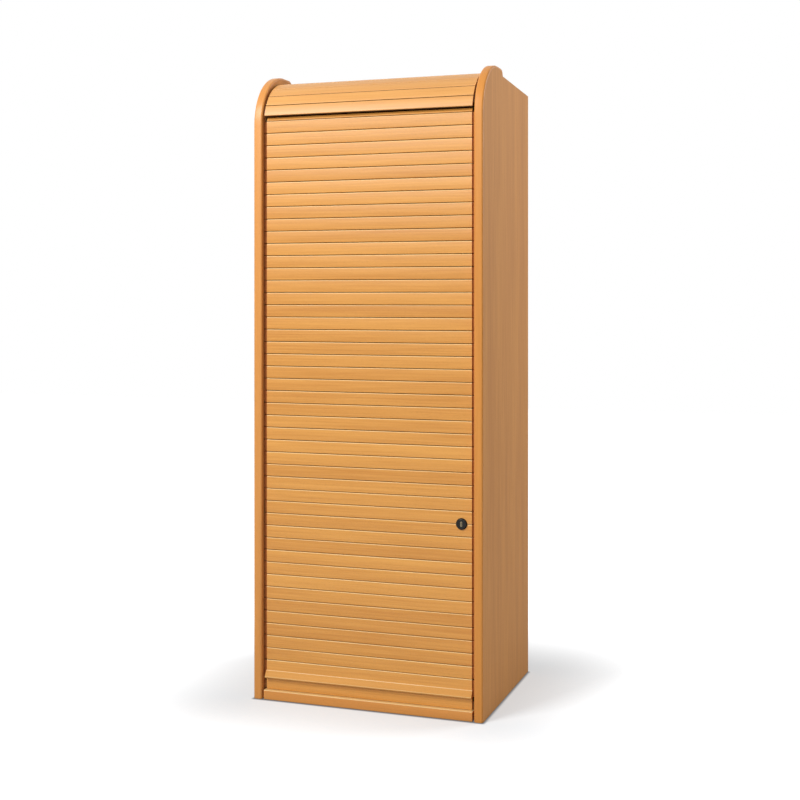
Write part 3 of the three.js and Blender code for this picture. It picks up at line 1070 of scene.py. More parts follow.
@dataclass
class Hood:
    """The quarter-round hood of slats over the top of the doorway.

    Attributes:
        start: The angle from the level to the foot of the lowest slat, in radians.
        sheet_start: The same angle to the foot of the sheet behind the slats.
        gap: The width of a joint at the slats' backs.
        mouth: The width of a joint at their faces.
        front_trim: How much shorter the lowest slat is at its foot.
    """

    bench: Bench
    radius: float = 134 * MM
    start: float = 0.224
    slat_thickness: float = 6 * MM
    glue: float = 0.25 * MM
    sheet: float = 2.5 * MM
    sheet_start: float = 0.335
    edge_round: float = 1.4 * MM
    gap: float = 1.1 * MM
    mouth: float = 2.1 * MM
    overhang: float = 2 * MM
    front_trim: float = 1.4 * MM
    pitch: float = 33 * MM
    edge_facets: int = 4
    back_facets: int = 10
    sheet_facets: int = 40

    def __post_init__(self) -> None:
        """Reads the centre of the curve from the frame."""
        crown = high("hood_backing")
        self.sheet_radius = self.radius - self.slat_thickness - self.glue
        self.centre = (crown.y, crown.z - self.sheet_radius)

    def build(self) -> None:
        """Makes the slats and the sheet that they are glued on."""
        for index in range(sum(node.startswith("hood_slat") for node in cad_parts)):
            self._slat(index)
        self._backing()

    def _turn(self, length: float) -> float:
        """Returns the angle in degrees of a length along the slats' faces."""
        return math.degrees(length / self.radius)

    def _slat(self, index: int) -> None:
        """Makes one slat, counted from the front edge upwards."""
        node = f"hood_slat_{index + 1}"
        corner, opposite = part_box(node)
        step, slit, mouth = self._turn(self.pitch), self._turn(self.gap) / 2, self._turn(self.mouth) / 2
        foot = 180 - math.degrees(self.start)
        start, end = foot - index * step, max(90, foot - (index + 1) * step)
        if not index:
            start -= self._turn(self.front_trim)
        back_radius = self.radius - self.slat_thickness
        face = arc(self.centre, self.radius, start - mouth, end + mouth, 1)
        back = arc(self.centre, back_radius, end + slit, start - slit, self.back_facets)
        corners = [(*point, self.edge_round) for point in face] + [(*point, 0.0) for point in back]
        profile = rounded(corners, self.edge_facets)
        # Painted shade: the end faces at both joints, the lowest stave's underside among them, get the
        # dark hardboard finish.
        painted_shade_ends = (rounding(corners, 1, self.edge_facets).stop, len(profile) - 1)
        shape = self.bench.shape(f"hood_stave_{index + 1}")
        shape.prism(profile, corner.x - self.overhang, opposite.x + self.overhang, painted_shade_ends)
        finishes = self.bench.finishes
        stave = shape.made(finishes.hood, finishes.hardboard)
        self.bench.place(stave, "hood_slat", node)

    def _backing(self) -> None:
        """Makes the bent sheet behind the slats."""
        corner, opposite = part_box("hood_backing")
        foot = 180 - math.degrees(self.sheet_start)
        outer = arc(self.centre, self.sheet_radius, foot, 90, self.sheet_facets)
        inner = arc(self.centre, self.sheet_radius - self.sheet, 90, foot, self.sheet_facets)
        shape = self.bench.shape("hood_bent_sheet")
        shape.prism(outer + inner, corner.x, opposite.x)
        sheet = shape.made(self.bench.finishes.hardboard)
        self.bench.place(sheet, "back_board", "hood_backing")


@dataclass
class Tambour:
    """The curtain of slats on its canvas, with the lead slat.

    Attributes:
        gap: How far a slat's edge lies from the middle of its joint.
        end_trim: How far a slat ends inside the lip's end.
        node_gap: The gap between two sections of the frame.
        lead_tongue_trim: How much lower the lead slat's tongues end than the slat.
        head_lean: The angle that the uppermost slat leans back, in radians.
        head_height: The height of that slat.
        head_gather: The height at which its section would gather; it is not used.
        flat_share: The share of its height that a gathered section would keep; it is not used.
        lock_reach: Half the length of the lock section's slats, with their tongues.
        lock_share: The share of its height that the lock's section would keep; it is not used.
    """

    bench: Bench
    thickness: float = 10 * MM
    taper: float = 0.45 * MM
    top_round: float = 2.2 * MM
    bottom_round: float = 1.1 * MM
    back_round: float = 0.2 * MM
    gap: float = 0.4 * MM
    end_trim: float = 1.2 * MM
    node_gap: float = 0.5 * MM
    tongue_setback: float = 6.1 * MM
    tongue_thickness: float = 2.9 * MM
    tongue_round: float = 0.8 * MM
    tongue_trim: float = 0.3 * MM
    lead_tongue_trim: float = 3 * MM
    canvas_margin: float = 4 * MM
    canvas_round: float = 0.1 * MM
    head_lean: float = 0.6
    head_height: float = 14 * MM
    head_gather: float = 1569.6 * MM
    flat_share: float = 0.0038
    lock_reach: float = 295.5 * MM
    lock_share: float = 0.8
    facets: int = 6
    tongue_facets: int = 3

    def __post_init__(self) -> None:
        """Reads the places of the curtain from the frame."""
        corner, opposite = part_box("slats_20_21")
        self.face = corner.y
        self.back = self.face + self.thickness
        self.canvas_back = opposite.y
        self.pitch = (opposite.z - corner.z + self.node_gap) / 2
        self.half = high("lift_lip").x - self.end_trim
        self.reach = opposite.x
        # The top rounding's facets, but for the first, get the painted highlight.
        self.arris = rounding(self._corners(0.0, self.pitch), 2, self.facets)[1:]

    def build(self) -> None:
        """Makes every section of the curtain and the lead slat."""
        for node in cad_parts:
            if node.startswith("slat"):
                self._section(node)
        self._lead_slat()

    def _corners(self, bottom: float, top: float, undercut: float = 0.0) -> list[Triple]:
        """Lists the corners of a slat's profile with their radii, from the back's foot on.

        Args:
            bottom: The height of its lower side.
            top: The height of its upper side.
            undercut: How much shorter its back is at the lower side.

        Returns:
            Its four corners, as rounded() takes them.
        """
        return [
            (self.back, bottom + undercut, self.back_round),
            (self.face, bottom + self.taper, self.bottom_round),
            (self.face, top - self.taper, self.top_round),
            (self.back, top, self.back_round),
        ]

    def _tongue(self, bottom: float, top: float) -> list[Pair]:
        """Returns the rounded profile of a tongue between two heights."""
        near = self.face + self.tongue_setback
        far = near + self.tongue_thickness
        corners = [(far, bottom), (near, bottom), (near, top), (far, top)]
        return rounded([(*corner, self.tongue_round) for corner in corners], self.tongue_facets)

    def _slat(self, shape: Shape, foot: float, reach: float) -> None:
        """Adds one slat to a section.

        Args:
            shape: The section's shape.
            foot: The height of the slat's lower joint.
            reach: How far its tongues go to each side.
        """
        bottom, top = foot + self.gap, foot + self.pitch - self.gap
        body = rounded(self._corners(bottom, top), self.facets)
        tongue = self._tongue(bottom + self.tongue_trim, top - self.tongue_trim)
        shape.tongued(body, tongue, self.half, reach, self.arris)

    def _head_slat(self, shape: Shape, foot: float) -> None:
        """Adds the short slat that leans back behind the hood.

        Args:
            shape: The section's shape.
            foot: The height of the slat's lower joint, about which it leans.
        """
        undercut = self.thickness * math.tan(self.head_lean)
        corners = self._corners(foot + self.gap, foot + self.head_height - self.gap, undercut)
        pivot = Vector((self.face, foot))
        lean = Matrix.Rotation(-self.head_lean, 2)
        body = [tuple(pivot + lean @ (Vector(point) - pivot)) for point in rounded(corners, self.facets)]
        shape.prism(body, -self.half, self.half)

    def _section(self, node: str) -> None:
        """Makes the slats of one section on their canvas."""
        corner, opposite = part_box(node)
        foot = corner.z - self.node_gap / 2
        head, lock = node == HEAD_PAIR, node == LOCK_PAIR
        upright = 1 if head else round((opposite.z - foot) / self.pitch)
        shape = self.bench.shape(node.replace("slat", "curtain_slat"))
        for index in range(upright):
            self._slat(shape, foot + index * self.pitch, self.lock_reach if lock else self.reach)
        if head:
            self._head_slat(shape, foot + self.pitch)
        side = self.half - self.canvas_margin
        shape.plank(
            Vector((-side, self.back, corner.z)),
            Vector((side, self.canvas_back, foot + upright * self.pitch - self.gap)),
            Run.ACROSS, self.canvas_round, Coat.ACCENT,
        )
        section = self._dressed(shape)
        body = node.replace("slats_", "section_").replace("slat_", "section_")
        self.bench.place(section, "slat", node, body=body)
        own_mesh(section)

    def _lead_slat(self) -> None:
        """Makes the tall lead slat, with its tongues above the lip."""
        corner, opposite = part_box("lead_slat")
        body = rounded(self._corners(corner.z, opposite.z), self.facets)
        tongue = self._tongue(low("lift_lip").z + self.gap, opposite.z - self.lead_tongue_trim)
        shape = self.bench.shape("lead_stave")
        shape.tongued(body, tongue, self.half, self.reach, self.arris)
        self.bench.place(self._dressed(shape), "slat", "lead_slat", body=LEAD_RAIL)

    def _dressed(self, shape: Shape) -> bpy.types.Object:
        """Turns a shape of slats into an object with the curtain's finishes."""
        finishes = self.bench.finishes
        return shape.made(finishes.slat, finishes.canvas, finishes.runner, finishes.edge)


@dataclass
class LiftLip:
    """The lip on the lead slat, which slopes out to a nose with a hollow for the fingers.

    Attributes:
        land: The depth of its level top.
        arris: How far forward and how far down the arris of its top ends; it carries a painted highlight.
        nose: The height of its nose over its foot.
        toe: How far its foot lies behind its nose.
        hollow: How far back and how high the hollow under it starts.
        root: The height over its foot at which the hollow meets the lead slat.
    """

    bench: Bench
    land: float = 0.9 * MM
    arris: Pair = (1.5 * MM, 1.1 * MM)
    nose: float = 3.4 * MM
    toe: float = 0.6 * MM
    hollow: Pair = (3.2 * MM, 0.3 * MM)
    root: float = 5 * MM
    arris_round: float = 0.4 * MM
    nose_round: float = 1.6 * MM
    foot_round: float = 0.8 * MM
    facets: int = 5

    def build(self) -> None:
        """Makes the lip."""
        corner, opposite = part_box("lift_lip")
        front, foot = corner.y, corner.z
        back, top = opposite.y, opposite.z
        corners = [
            (back, top, 0.0),
            (back - self.land, top, self.arris_round),
            (back - self.arris[0], top - self.arris[1], self.arris_round),
            (front, foot + self.nose, self.nose_round),
            (front + self.toe, foot, self.foot_round),
            (front + self.hollow[0], foot + self.hollow[1], self.foot_round),
            (back, foot + self.root, 0.0),
        ]
        # Painted highlight: the level top, its rounding and the slope down to the arris, and most of the
        # nose's rounding, get the paler finish.
        painted_highlight_top = range(rounding(corners, 1, self.facets).stop + 1)
        painted_highlight_nose = rounding(corners, 3, self.facets)[:-1]
        shape = self.bench.shape("finger_lip")
        shape.prism(rounded(corners, self.facets), corner.x, opposite.x, (*painted_highlight_top, *painted_highlight_nose))
        finishes = self.bench.finishes
        lip = shape.made(finishes.lip, finishes.edge)
        self.bench.place(lip, "slat", "lift_lip", body=LEAD_RAIL)


@dataclass
class Panels:
    """The flat panels that join the side boards, and the rail at the foot.

    Attributes:
        rail_foot_round: The radius of the rail's lower front edge.
        rail_round: The radius of its upper front edge, which carries a painted highlight.
        ease: How far the other edges are rounded.
        step: How far the top panel's front stands over the rest of its face.
        step_depth: How far back that step reaches.
        groove: The depth of the bottom panel's groove for the inner back.
    """

    bench: Bench
    rail_foot_round: float = 1 * MM
    rail_round: float = 2.4 * MM
    rail_facets: int = 5
    ease: float = 0.4 * MM
    ease_facets: int = 2
    step: float = 4 * MM
    step_depth: float = 6.25 * MM
    groove: float = 4 * MM

    def build(self) -> None:
        """Makes the rail and every panel."""
        finishes = self.bench.finishes
        self._rail()
        self._top_board()
        self._bottom_board()
        for node, name, material, slot, run in (
            ("back_panel", "back_sheet", finishes.back, "back_board", Run.UP),
            ("inner_back", "inner_back_sheet", finishes.inside, "inside_board", Run.UP),
            ("inner_top", "inner_top_board", finishes.inside, "inside_board", Run.ACROSS),
        ):
            shape = self.bench.shape(name)
            shape.plank(*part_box(node), run)
            self.bench.place(shape.made(material), slot, node)

    def _rail(self) -> None:
        """Makes the rail at the foot, with a rounded upper edge that carries a painted highlight."""
        corner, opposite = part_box("bottom_rail")
        corners = [
            (corner.y, corner.z, self.rail_foot_round),
            (corner.y, opposite.z, self.rail_round),
            (opposite.y, opposite.z, self.ease),
            (opposite.y, corner.z, self.ease),
        ]
        upper = rounding(corners, 1, self.rail_facets)
        shape = self.bench.shape("foot_rail")
        profile = rounded(corners, self.rail_facets)
        # Painted highlight: most of the upper front rounding and the top face get the paler finish.
        shape.prism(profile, corner.x, opposite.x, (*upper[1:], upper.stop))
        finishes = self.bench.finishes
        self.bench.place(shape.made(finishes.lipping, finishes.edge), "lipping", "bottom_rail")

    def _top_board(self) -> None:
        """Makes the top panel, whose front step carries the hood's sheet."""
        corner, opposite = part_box("top_panel")
        heel, top = corner.y + self.step_depth, opposite.z - self.step
        profile = rounded([
            (corner.y, corner.z, self.ease),
            (corner.y, opposite.z, self.ease),
            (heel, opposite.z, self.ease),
            (heel, top, 0.0),
            (opposite.y, top, self.ease),
            (opposite.y, corner.z, self.ease),
        ], self.ease_facets)
        shape = self.bench.shape("top_board")
        shape.prism(profile, corner.x, opposite.x)
        self.bench.place(shape.made(self.bench.finishes.veneer), "board", "top_panel")

    def _bottom_board(self) -> None:
        """Makes the bottom panel, with the groove that the inner back stands in."""
        corner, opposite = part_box("bottom_panel")
        near, far = low("inner_back").y, high("inner_back").y
        floor = opposite.z - self.groove
        profile = rounded([
            (corner.y, corner.z, self.ease),
            (corner.y, opposite.z, self.ease),
            (near, opposite.z, 0.0),
            (near, floor, 0.0),
            (far, floor, 0.0),
            (far, opposite.z, 0.0),
            (opposite.y, opposite.z, self.ease),
            (opposite.y, corner.z, self.ease),
        ], self.ease_facets)
        shape = self.bench.shape("bottom_board")
        shape.prism(profile, corner.x, opposite.x)
        self.bench.place(shape.made(self.bench.finishes.inside), "inside_board", "bottom_panel")


@dataclass
class BackScrews:
    """The small screws round the edge of the back panel.

    Attributes:
        inset: How far in from the panel's edges they sit.
        head: The radius of a head.
        proud: How far a head stands out.
        rows: How many there are along each side.
        across: Where those of the top and bottom edge sit, as shares of the panel's width.
        facets: How many steps go round a head.
    """

    bench: Bench
    inset: float = 12 * MM
    head: float = 3.2 * MM
    proud: float = 1.2 * MM
    rows: int = 7
    across: Triple = (-0.33, 0.0, 0.33)
    facets: int = 20

    def build(self) -> None:
        """Makes the screws as one piece."""
        corner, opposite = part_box("back_panel")
        shares = [(0.0, 0.55), (0.16, 0.55), (0.24, 1.0), (0.7, 0.9), (1.0, 0.3), (1.0, 0.0), (0.0, 0.0)]
        profile = [(self.head * out, opposite.y + self.proud * up) for out, up in shares]
        left, right = corner.x + self.inset, opposite.x - self.inset
        foot, top = corner.z + self.inset, opposite.z - self.inset
        places = [
            (x, foot + (opposite.z - corner.z - 2 * self.inset) * row / (self.rows - 1))
            for row in range(self.rows)
            for x in (left, right)
        ]
        places += [((opposite.x - corner.x) * share, z) for z in (foot, top) for share in self.across]
        shape = self.bench.shape("back_screws")
        for x, z in places:
            shape.turned(profile, Vector((x, 0.0, z)), self.facets)
        self.bench.place(shape.made(self.bench.finishes.zinc), "steel")


@dataclass
class Interior:
    """The shelves and the slotted strips that carry them.

    Attributes:
        band: The depth of the solid band on a shelf's front edge.
        clearance: The gap between a shelf's end and a strip.
        web: The thickness of a strip's sheet.
    """

    bench: Bench
    shelves: tuple[str, ...] = ("shelf_1", "shelf_2", "shelf_3")
    shelf_ease: float = 0.2 * MM
    band: float = 2 * MM
    band_ease: float = 0.8 * MM
    clearance: float = 1 * MM
    web: float = 1.2 * MM
    web_ease: float = 0.2 * MM
    slot_pitch: float = 20 * MM
    slot_height: float = 5 * MM
    slot_width: float = 7 * MM
    lug_thickness: float = 4 * MM
    lug_width: float = 10 * MM
    lug_ease: float = 0.9 * MM

    def build(self) -> None:
        """Makes the shelves and the four strips."""
        for node in self.shelves:
            self._shelf(node)
        for side in Side:
            for place in ("front", "back"):
                self._strip(f"shelf_strip_{place}_{side.word}", side)

    def _shelf(self, node: str) -> None:
        """Makes one shelf with a solid band on its front edge."""
        corner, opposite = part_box(node)
        seam = corner.y + self.band
        shape = self.bench.shape(node.replace("shelf", "shelf_board"))
        shape.plank(Vector((corner.x, seam, corner.z)), opposite, Run.ACROSS, self.shelf_ease)
        front = Vector((opposite.x, seam, opposite.z))
        shape.plank(corner, front, Run.ACROSS, self.band_ease, Coat.ACCENT)
        finishes = self.bench.finishes
        self.bench.place(shape.made(finishes.inside, finishes.lipping), "inside_board", node)

    def _strip(self, node: str, side: Side) -> None:
        """Makes one slotted strip with a lug under each shelf."""
        corner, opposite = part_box(node)
        middle = (corner.y + opposite.y) / 2
        half = (opposite.y - corner.y) / 2
        face = side.value * (high(self.shelves[0]).x + self.clearance)
        rear = face + side.value * self.web
        shape = self.bench.shape(node.replace("shelf_strip", "slotted_strip"))
        self._web(shape, (face, rear), corner, opposite)
        x0, x1 = sorted((rear, side.value * low("side_right").x))
        for sign in (-1, 1):
            y0, y1 = sorted((middle + sign * half, middle + sign * (half - self.web)))
            shape.plank(Vector((x0, y0, corner.z)), Vector((x1, y1, opposite.z)), Run.UP, self.web_ease)
        x0, x1 = sorted((corner.x if side is Side.RIGHT else opposite.x, rear))
        for shelf in self.shelves:
            top = low(shelf).z
            shape.plank(
                Vector((x0, middle - self.lug_width / 2, top - self.lug_thickness)),
                Vector((x1, middle + self.lug_width / 2, top)),
                Run.ACROSS, self.lug_ease,
            )
        self.bench.place(shape.made(self.bench.finishes.zinc), "steel", node)

    def _web(self, shape: Shape, sides: Pair, corner: Vector, opposite: Vector) -> None:
        """Adds the face of a strip, pierced by its slots.

        Args:
            shape: The strip's shape.
            sides: The places along X of its front and rear.
            corner: The strip's lowest corner.
            opposite: Its highest corner.
        """
        z0, z1 = corner.z, opposite.z
        middle = (corner.y + opposite.y) / 2
        rows = int((z1 - z0) // self.slot_pitch)
        start = (z1 - z0 - rows * self.slot_pitch) / 2
        heights = [z0]
        for row in range(rows):
            centre = z0 + start + (row + 0.5) * self.slot_pitch
            heights += [centre - self.slot_height / 2, centre + self.slot_height / 2]
        heights.append(z1)
        slot = (middle - self.slot_width / 2, middle + self.slot_width / 2)
        widths = [corner.y, *slot, opposite.y]
        columns, levels = len(widths), len(heights)
        points = [(x, y, z) for x in sides for z in heights for y in widths]

        def at(depth: int, level: int, column: int) -> int:
            """Returns the index of a point of the grid."""
            return (depth * levels + level) * columns + column

        def wall(start: tuple[int, int], end: tuple[int, int]) -> Face:
            """Returns the face from front to rear between two places of (level, column)."""
            return (at(0, *start), at(0, *end), at(1, *end), at(1, *start))

        faces: list[Face] = []
        for level in range(levels - 1):
            for column in range(columns - 1):
                ring = [(level, column), (level, column + 1), (level + 1, column + 1), (level + 1, column)]
                if level % 2 and column == 1:
                    faces.extend(wall(*step) for step in zip(ring, ring[1:] + ring[:1]))
                else:
                    faces.extend([at(depth, *place) for place in ring] for depth in (0, 1))
            faces.extend(wall((level, column), (level + 1, column)) for column in (0, columns - 1))
        for level in (0, levels - 1):
            faces.extend(wall((level, column), (level, column + 1)) for column in range(columns - 1))
        shape.shell(points, faces, Run.UP)


@dataclass
class Lock:
    """The cylinder lock in the curtain and the keeper that its cam turns into.

    Attributes:
        bore: The radius of the hole in the rosette and the case.
        plug_gap: The gap between the case and the plug's rear.
        core_inset: How much smaller the nickel core is than its seat in the plug.
        core_proud: How far the core stands out of the plug.
        seat_depth: The depth of that seat.
        slot_rise: How far the key slot's floor lies in front of the seat's floor.
        land_inset: How far inside its edge the rosette's flat front ends.
        thread_start: Where the first thread starts, as a share of a thread's pitch.
        bracket_ease: How far the edges of the cam, nut and keeper are rounded.
        bracket_weld: The distance under which two of their points are one.
        bracket_corner: The angle in degrees over which their edges are rounded.
    """

    bench: Bench
    bore: float = 9.25 * MM
    plug_radius: float = 9 * MM
    plug_gap: float = 0.25 * MM
    core_half_width: float = 2.5 * MM
    core_half_height: float = 6.8 * MM
    core_inset: float = 0.1 * MM
    core_proud: float = 0.35 * MM
    slot_half_width: float = 0.8 * MM
    slot_half_height: float = 4.6 * MM
    seat_depth: float = 5 * MM
    slot_rise: float = 1 * MM
    spindle: float = 4 * MM
    spindle_chamfer: float = 0.5 * MM
    land_inset: float = 2.7 * MM
    threads: int = 9
    thread_start: float = 0.75
    thread_depth: float = 0.5 * MM
    case_chamfer: float = 0.6 * MM
    bracket_ease: float = 0.4 * MM
    bracket_weld: float = 0.01 * MM
    bracket_corner: float = 50.0
    facets: int = 72
    slot_facets: int = 10

    def __post_init__(self) -> None:
        """Reads the places of the lock from the frame."""
        corner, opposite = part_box("lock_rosette")
        self.axis = (corner + opposite) / 2
        self.front = corner.y
        self.rim = opposite.y
        self.radius = (opposite.x - corner.x) / 2

    def build(self) -> None:
        """Makes the rosette, case and plug, and dresses the cam, nut and keeper."""
        finishes = self.bench.finishes
        self._rosette()
        self._case()
        self._plug()
        self._dress("lock_cam", finishes.zinc)
        self._dress("lock_nut", finishes.nickel)
        self._dress("lock_keeper", finishes.zinc)

    def _rosette(self) -> None:
        """Makes the black conical rosette, from steps out and back in millimetres."""
        land = self.radius - self.land_inset
        mouth = [(0.0, 0.5), (0.4, 0.1), (1.0, 0.0)]
        shoulder = [(-0.8, 0.0), (0.0, 0.25), (0.9, 1.0)]
        brim = [(-0.5, 2.9), (0.0, 3.5)]
        profile = [
            (start + out * MM, self.front + back * MM)
            for start, steps in ((self.bore, mouth), (land, shoulder), (self.radius, brim))
            for out, back in steps
        ]
        profile += [(self.radius, self.rim), (self.bore, self.rim)]
        shape = self.bench.shape("rosette")
        shape.turned(profile, self.axis, self.facets)
        rosette = shape.made(self.bench.finishes.black)
        self.bench.place(rosette, "lock_black", "lock_rosette", body=LOCK_SECTION)

    def _case(self) -> None:
        """Makes the threaded case that goes through the slats."""
        corner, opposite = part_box("lock_case")
        radius = (opposite.x - corner.x) / 2
        pitch = (opposite.y - corner.y) / (self.threads + 1)
        profile = [(self.bore, corner.y), (radius, corner.y)]
        for turn in range(self.threads):
            y = corner.y + pitch * (turn + self.thread_start)
            profile += [(radius, y), (radius - self.thread_depth, y + pitch / 2)]
        profile.append((radius, opposite.y - pitch * (1 - self.thread_start)))
        profile += [(radius - self.case_chamfer, opposite.y), (self.bore, opposite.y)]
        shape = self.bench.shape("lock_barrel_case")
        shape.turned(profile, self.axis, self.facets)
        case = shape.made(self.bench.finishes.nickel)
        self.bench.place(case, "lock_steel", "lock_case", body=LOCK_SECTION)

    def _stadium(self, half_width: float, half_height: float) -> list[Pair]:
        """Lists the points in (x, z) of an upright slot with round ends at the lock's axis."""
        x, z = self.axis.x, self.axis.z
        straight = half_height - half_width
        return [
            *arc((x, z + straight), half_width, 0, 180, self.slot_facets),
            *arc((x, z - straight), half_width, 180, 360, self.slot_facets),
        ]

    @staticmethod
    def _pocketed(
        shape: Shape,
        outline: Sequence[Pair],
        pocket: Sequence[Pair],
        depths: Triple,
        coat: Coat = Coat.BODY,
    ) -> None:
        """Adds a body along Y with a pocket in its front.

        Args:
            shape: The shape that gets the body.
            outline: The body's outline in (x, z).
            pocket: The pocket's outline, inside it.
            depths: The places along Y of the front, the pocket's floor and the rear.
            coat: The finish that it gets.
        """
        front, floor, rear = depths
        n, m = len(outline), len(pocket)
        stations = ((front, outline), (rear, outline), (front, pocket), (floor, pocket))
        points = [(x, y, z) for y, ring in stations for x, z in ring]
        mouth, deep = 2 * n, 2 * n + m
        faces = [
            *holed(outline, pocket, mouth),
            *band(0, n, n),
            range(n, mouth),
            *band(mouth, deep, m),
            range(deep, deep + m),
        ]
        shape.shell(points, faces, Run.ACROSS, coat)

    def _plug(self) -> None:
        """Makes the turning plug, with a nickel core round its key slot."""
        corner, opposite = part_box("lock_plug")
        front, rear = corner.y, opposite.y
        case_rear = high("lock_case").y + self.plug_gap
        seat_floor = front + self.seat_depth
        rim = circle((self.axis.x, self.axis.z), self.plug_radius, self.facets)
        width, height, inset = self.core_half_width, self.core_half_height, self.core_inset
        seat = self._stadium(width, height)
        core = self._stadium(width - inset, height - inset)
        slot = self._stadium(self.slot_half_width, self.slot_half_height)
        depths = (front - self.core_proud, seat_floor - self.slot_rise, seat_floor - inset)
        shape = self.bench.shape("plug")
        self._pocketed(shape, rim, seat, (front, seat_floor, case_rear))
        self._pocketed(shape, core, slot, depths, Coat.ACCENT)
        shape.turned([
            (0.0, case_rear),
            (self.spindle, case_rear),
            (self.spindle, rear - self.spindle_chamfer),
            (self.spindle - self.spindle_chamfer, rear),
            (0.0, rear),
        ], self.axis, self.facets, Coat.ACCENT)
        finishes = self.bench.finishes
        plug = shape.made(finishes.black, finishes.nickel)
        self.bench.place(plug, "lock_black", "lock_plug", body="lock_barrel")

    def _dress(self, node: str, material: bpy.types.Material) -> None:
        """Gives a node of the frame its finish and eased edges."""
        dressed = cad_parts[node]
        dressed.data.materials.clear()
        dressed.data.materials.append(material)
        weld = dressed.modifiers.new("weld", "WELD")
        weld.merge_threshold = self.bracket_weld
        bevel = dressed.modifiers.new("ease", "BEVEL")
        bevel.width = self.bracket_ease
        bevel.segments = 2
        bevel.angle_limit = math.radians(self.bracket_corner)
        log.info("%s is dressed", node)


@dataclass(frozen=True)
class Lamp:
    """One soft rectangular lamp.

    Attributes:
        name: The lamp's name.
        place: Where it hangs.
        target: What it is aimed at.
        size: Its width and height.
        power: Its power in watts.
    """

    name: str
    place: Triple
    target: Triple
    size: Pair
    power: float

    def hang(self) -> None:
        """Adds the lamp to the scene."""
        data = bpy.data.lights.new(self.name, "AREA")
        data.shape = "RECTANGLE"
        data.size, data.size_y = self.size
        data.energy = self.power
        lamp = linked(self.name, data)
        lamp.location = self.place
        beam = Vector(self.target) - Vector(self.place)
        lamp.rotation_euler = beam.to_track_quat("-Z", "Y").to_euler()


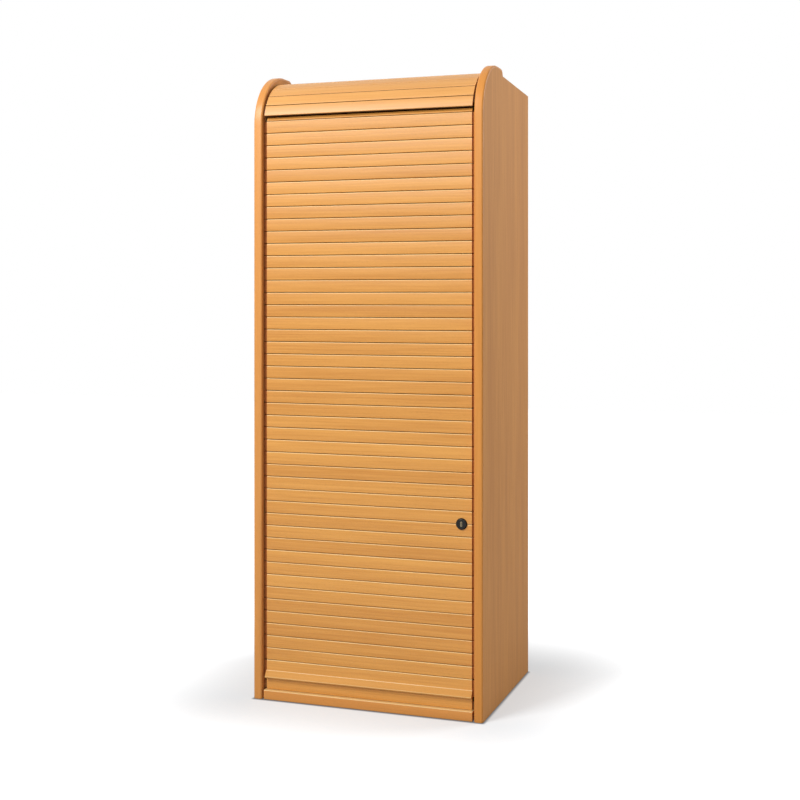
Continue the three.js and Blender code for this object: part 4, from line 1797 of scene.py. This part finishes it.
@dataclass
class Studio:
    """The pale floor, the soft lamps and the camera.

    Attributes:
        focal_pixels: The photograph's focal length.
        image_pixels: Its width and height.
        horizon_pixel: The row of its horizon.
        sensor: The camera's sensor width in millimetres.
        place: Where the camera stands.
        turn: How far it is turned to the left, in radians.
        floor_half: Half of the floor's width.
        footprint: The half sizes of the ground that the cabinet covers.
        shadow_reach: How far the soft darker patch, a painted shadow in the floor's glow, reaches beyond
            it.
        shadow_depth: How bright that patch is at the footprint, as a share.
        contact_shadow_reach: How far the thin painted contact shadow reaches.
        contact_shadow_depth: How bright that painted shadow is at the footprint, as a share.
        floor_colour: The floor's colour outside the painted contact shadow.
        room_colour: The colour of the room's even light.
        room_strength: The strength of that light.
    """

    focal_pixels: float = 1316.1
    image_pixels: float = 800.0
    horizon_pixel: float = 297.3
    sensor: float = 36.0
    place: Triple = (1.2135, -3.4703, 1.0824)
    turn: float = 0.3331
    floor_half: float = 9.0
    footprint: Triple = (0.3185, 0.2435, 0.0)
    shadow_reach: float = 0.56
    shadow_depth: float = 0.42
    contact_shadow_reach: float = 0.011
    contact_shadow_depth: float = 0.26
    floor_colour: Paint = (0.49, 0.512, 0.534, 1.0)
    room_colour: Paint = (1.0, 0.99, 0.97, 1.0)
    room_strength: float = 0.15
    lamps: tuple[Lamp, ...] = (
        Lamp("key_lamp", (-1.9, -3.5, 4.05), (0.0, -0.2, 2.2), (1.6, 1.6), 175.0),
        Lamp("front_card", (-0.4, -4.6, 2.45), (0.0, -0.2, 2.2), (4.4, 0.8), 97.0),
        Lamp("back_card", (2.7, 1.9, 2.3), (0.3, 0.1, 1.6), (1.5, 1.6), 67.0),
    )

    def build(self) -> None:
        """Makes the floor, world, lamps and camera."""
        self._camera()
        self._floor()
        self._world()
        for lamp in self.lamps:
            lamp.hang()
        bpy.context.scene.view_settings.view_transform = "Standard"

    def _camera(self) -> None:
        """Sets the camera where the photograph was taken from."""
        data = bpy.data.cameras.new("camera")
        data.sensor_width = self.sensor
        data.lens = self.focal_pixels / self.image_pixels * self.sensor
        data.shift_y = (self.horizon_pixel - self.image_pixels / 2) / self.image_pixels
        camera = linked("camera", data)
        camera.location = self.place
        camera.rotation_euler = (math.pi / 2, 0.0, self.turn)
        bpy.context.scene.camera = camera

    def _floor(self) -> None:
        """Makes the floor, which shows white where no shadow falls or is painted."""
        half = self.floor_half
        mesh = bpy.data.meshes.new("floor")
        corners = [(-half, -half, 0.0), (half, -half, 0.0), (half, half, 0.0), (-half, half, 0.0)]
        mesh.from_pydata(corners, [], [(0, 1, 2, 3)])
        floor = linked("floor", mesh)
        material, graph = new_graph("pale_floor")
        across = graph.vector("ABSOLUTE", graph.place())
        beyond = graph.vector("MAXIMUM", graph.vector("SUBTRACT", across, self.footprint), (0.0, 0.0, 0.0))
        away = graph.vector("LENGTH", beyond, output="Value")
        # Painted shadow: the floor's glow is dimmer in a soft patch round the footprint, so that the cast
        # shadow shows there.
        patch = self._fade(graph, away, self.shadow_reach, self.shadow_depth)
        # Painted contact shadow: a thin line next to the footprint darkens the floor's colour and its
        # glow.
        contact = self._fade(graph, away, self.contact_shadow_reach, self.contact_shadow_depth)
        graph.surface({
            "Base Color": graph.mix(contact, BLACK, self.floor_colour),
            "Roughness": 1.0,
            "Specular IOR Level": 0.0,
            "Emission Color": graph.mix(patch * contact * self._seen(graph), BLACK, WHITE),
            "Emission Strength": 1.0,
        })
        mesh.materials.append(material)

    @staticmethod
    def _fade(graph: Graph, away: Value, reach: float, depth: float) -> Value:
        """Adds a smooth rise from a depth at the footprint to 1 at a reach from it."""
        inputs = {"Value": away, "From Max": reach, "To Min": depth, "To Max": 1.0}
        return graph.node("ShaderNodeMapRange", {"interpolation_type": "SMOOTHSTEP"}, inputs)

    @staticmethod
    def _seen(graph: Graph) -> Value:
        """Returns 1 for rays from the camera and rays that gloss or glass sends on."""
        camera, gloss, glass = (
            graph.node("ShaderNodeLightPath", output=f"Is {kind} Ray")
            for kind in ("Camera", "Glossy", "Transmission")
        )
        return camera + gloss + glass

    def _world(self) -> None:
        """Lights the room evenly, and shows white to the camera."""
        world = bpy.data.worlds.new("studio")
        world.use_nodes = True
        bpy.context.scene.world = world
        graph = Graph(world.node_tree)
        dim = {"Color": self.room_colour, "Strength": self.room_strength}
        room = graph.node("ShaderNodeBackground", {}, dim)
        white = graph.node("ShaderNodeBackground", {}, {"Color": WHITE, "Strength": 1.0})
        mixed = graph.node("ShaderNodeMixShader", {}, {0: self._seen(graph), 1: room, 2: white})
        graph.node("ShaderNodeOutputWorld", {}, {"Surface": mixed})


def main() -> None:
    """Builds the studio and the cabinet."""
    logging.basicConfig(level=logging.INFO, format="%(message)s")
    Studio().build()
    bench = Bench(Finishes.made())
    for assembly in (SideBoards, Hood, Tambour, LiftLip, Panels, BackScrews, Interior, Lock):
        assembly(bench).build()


if __name__ == "__main__":
    main()
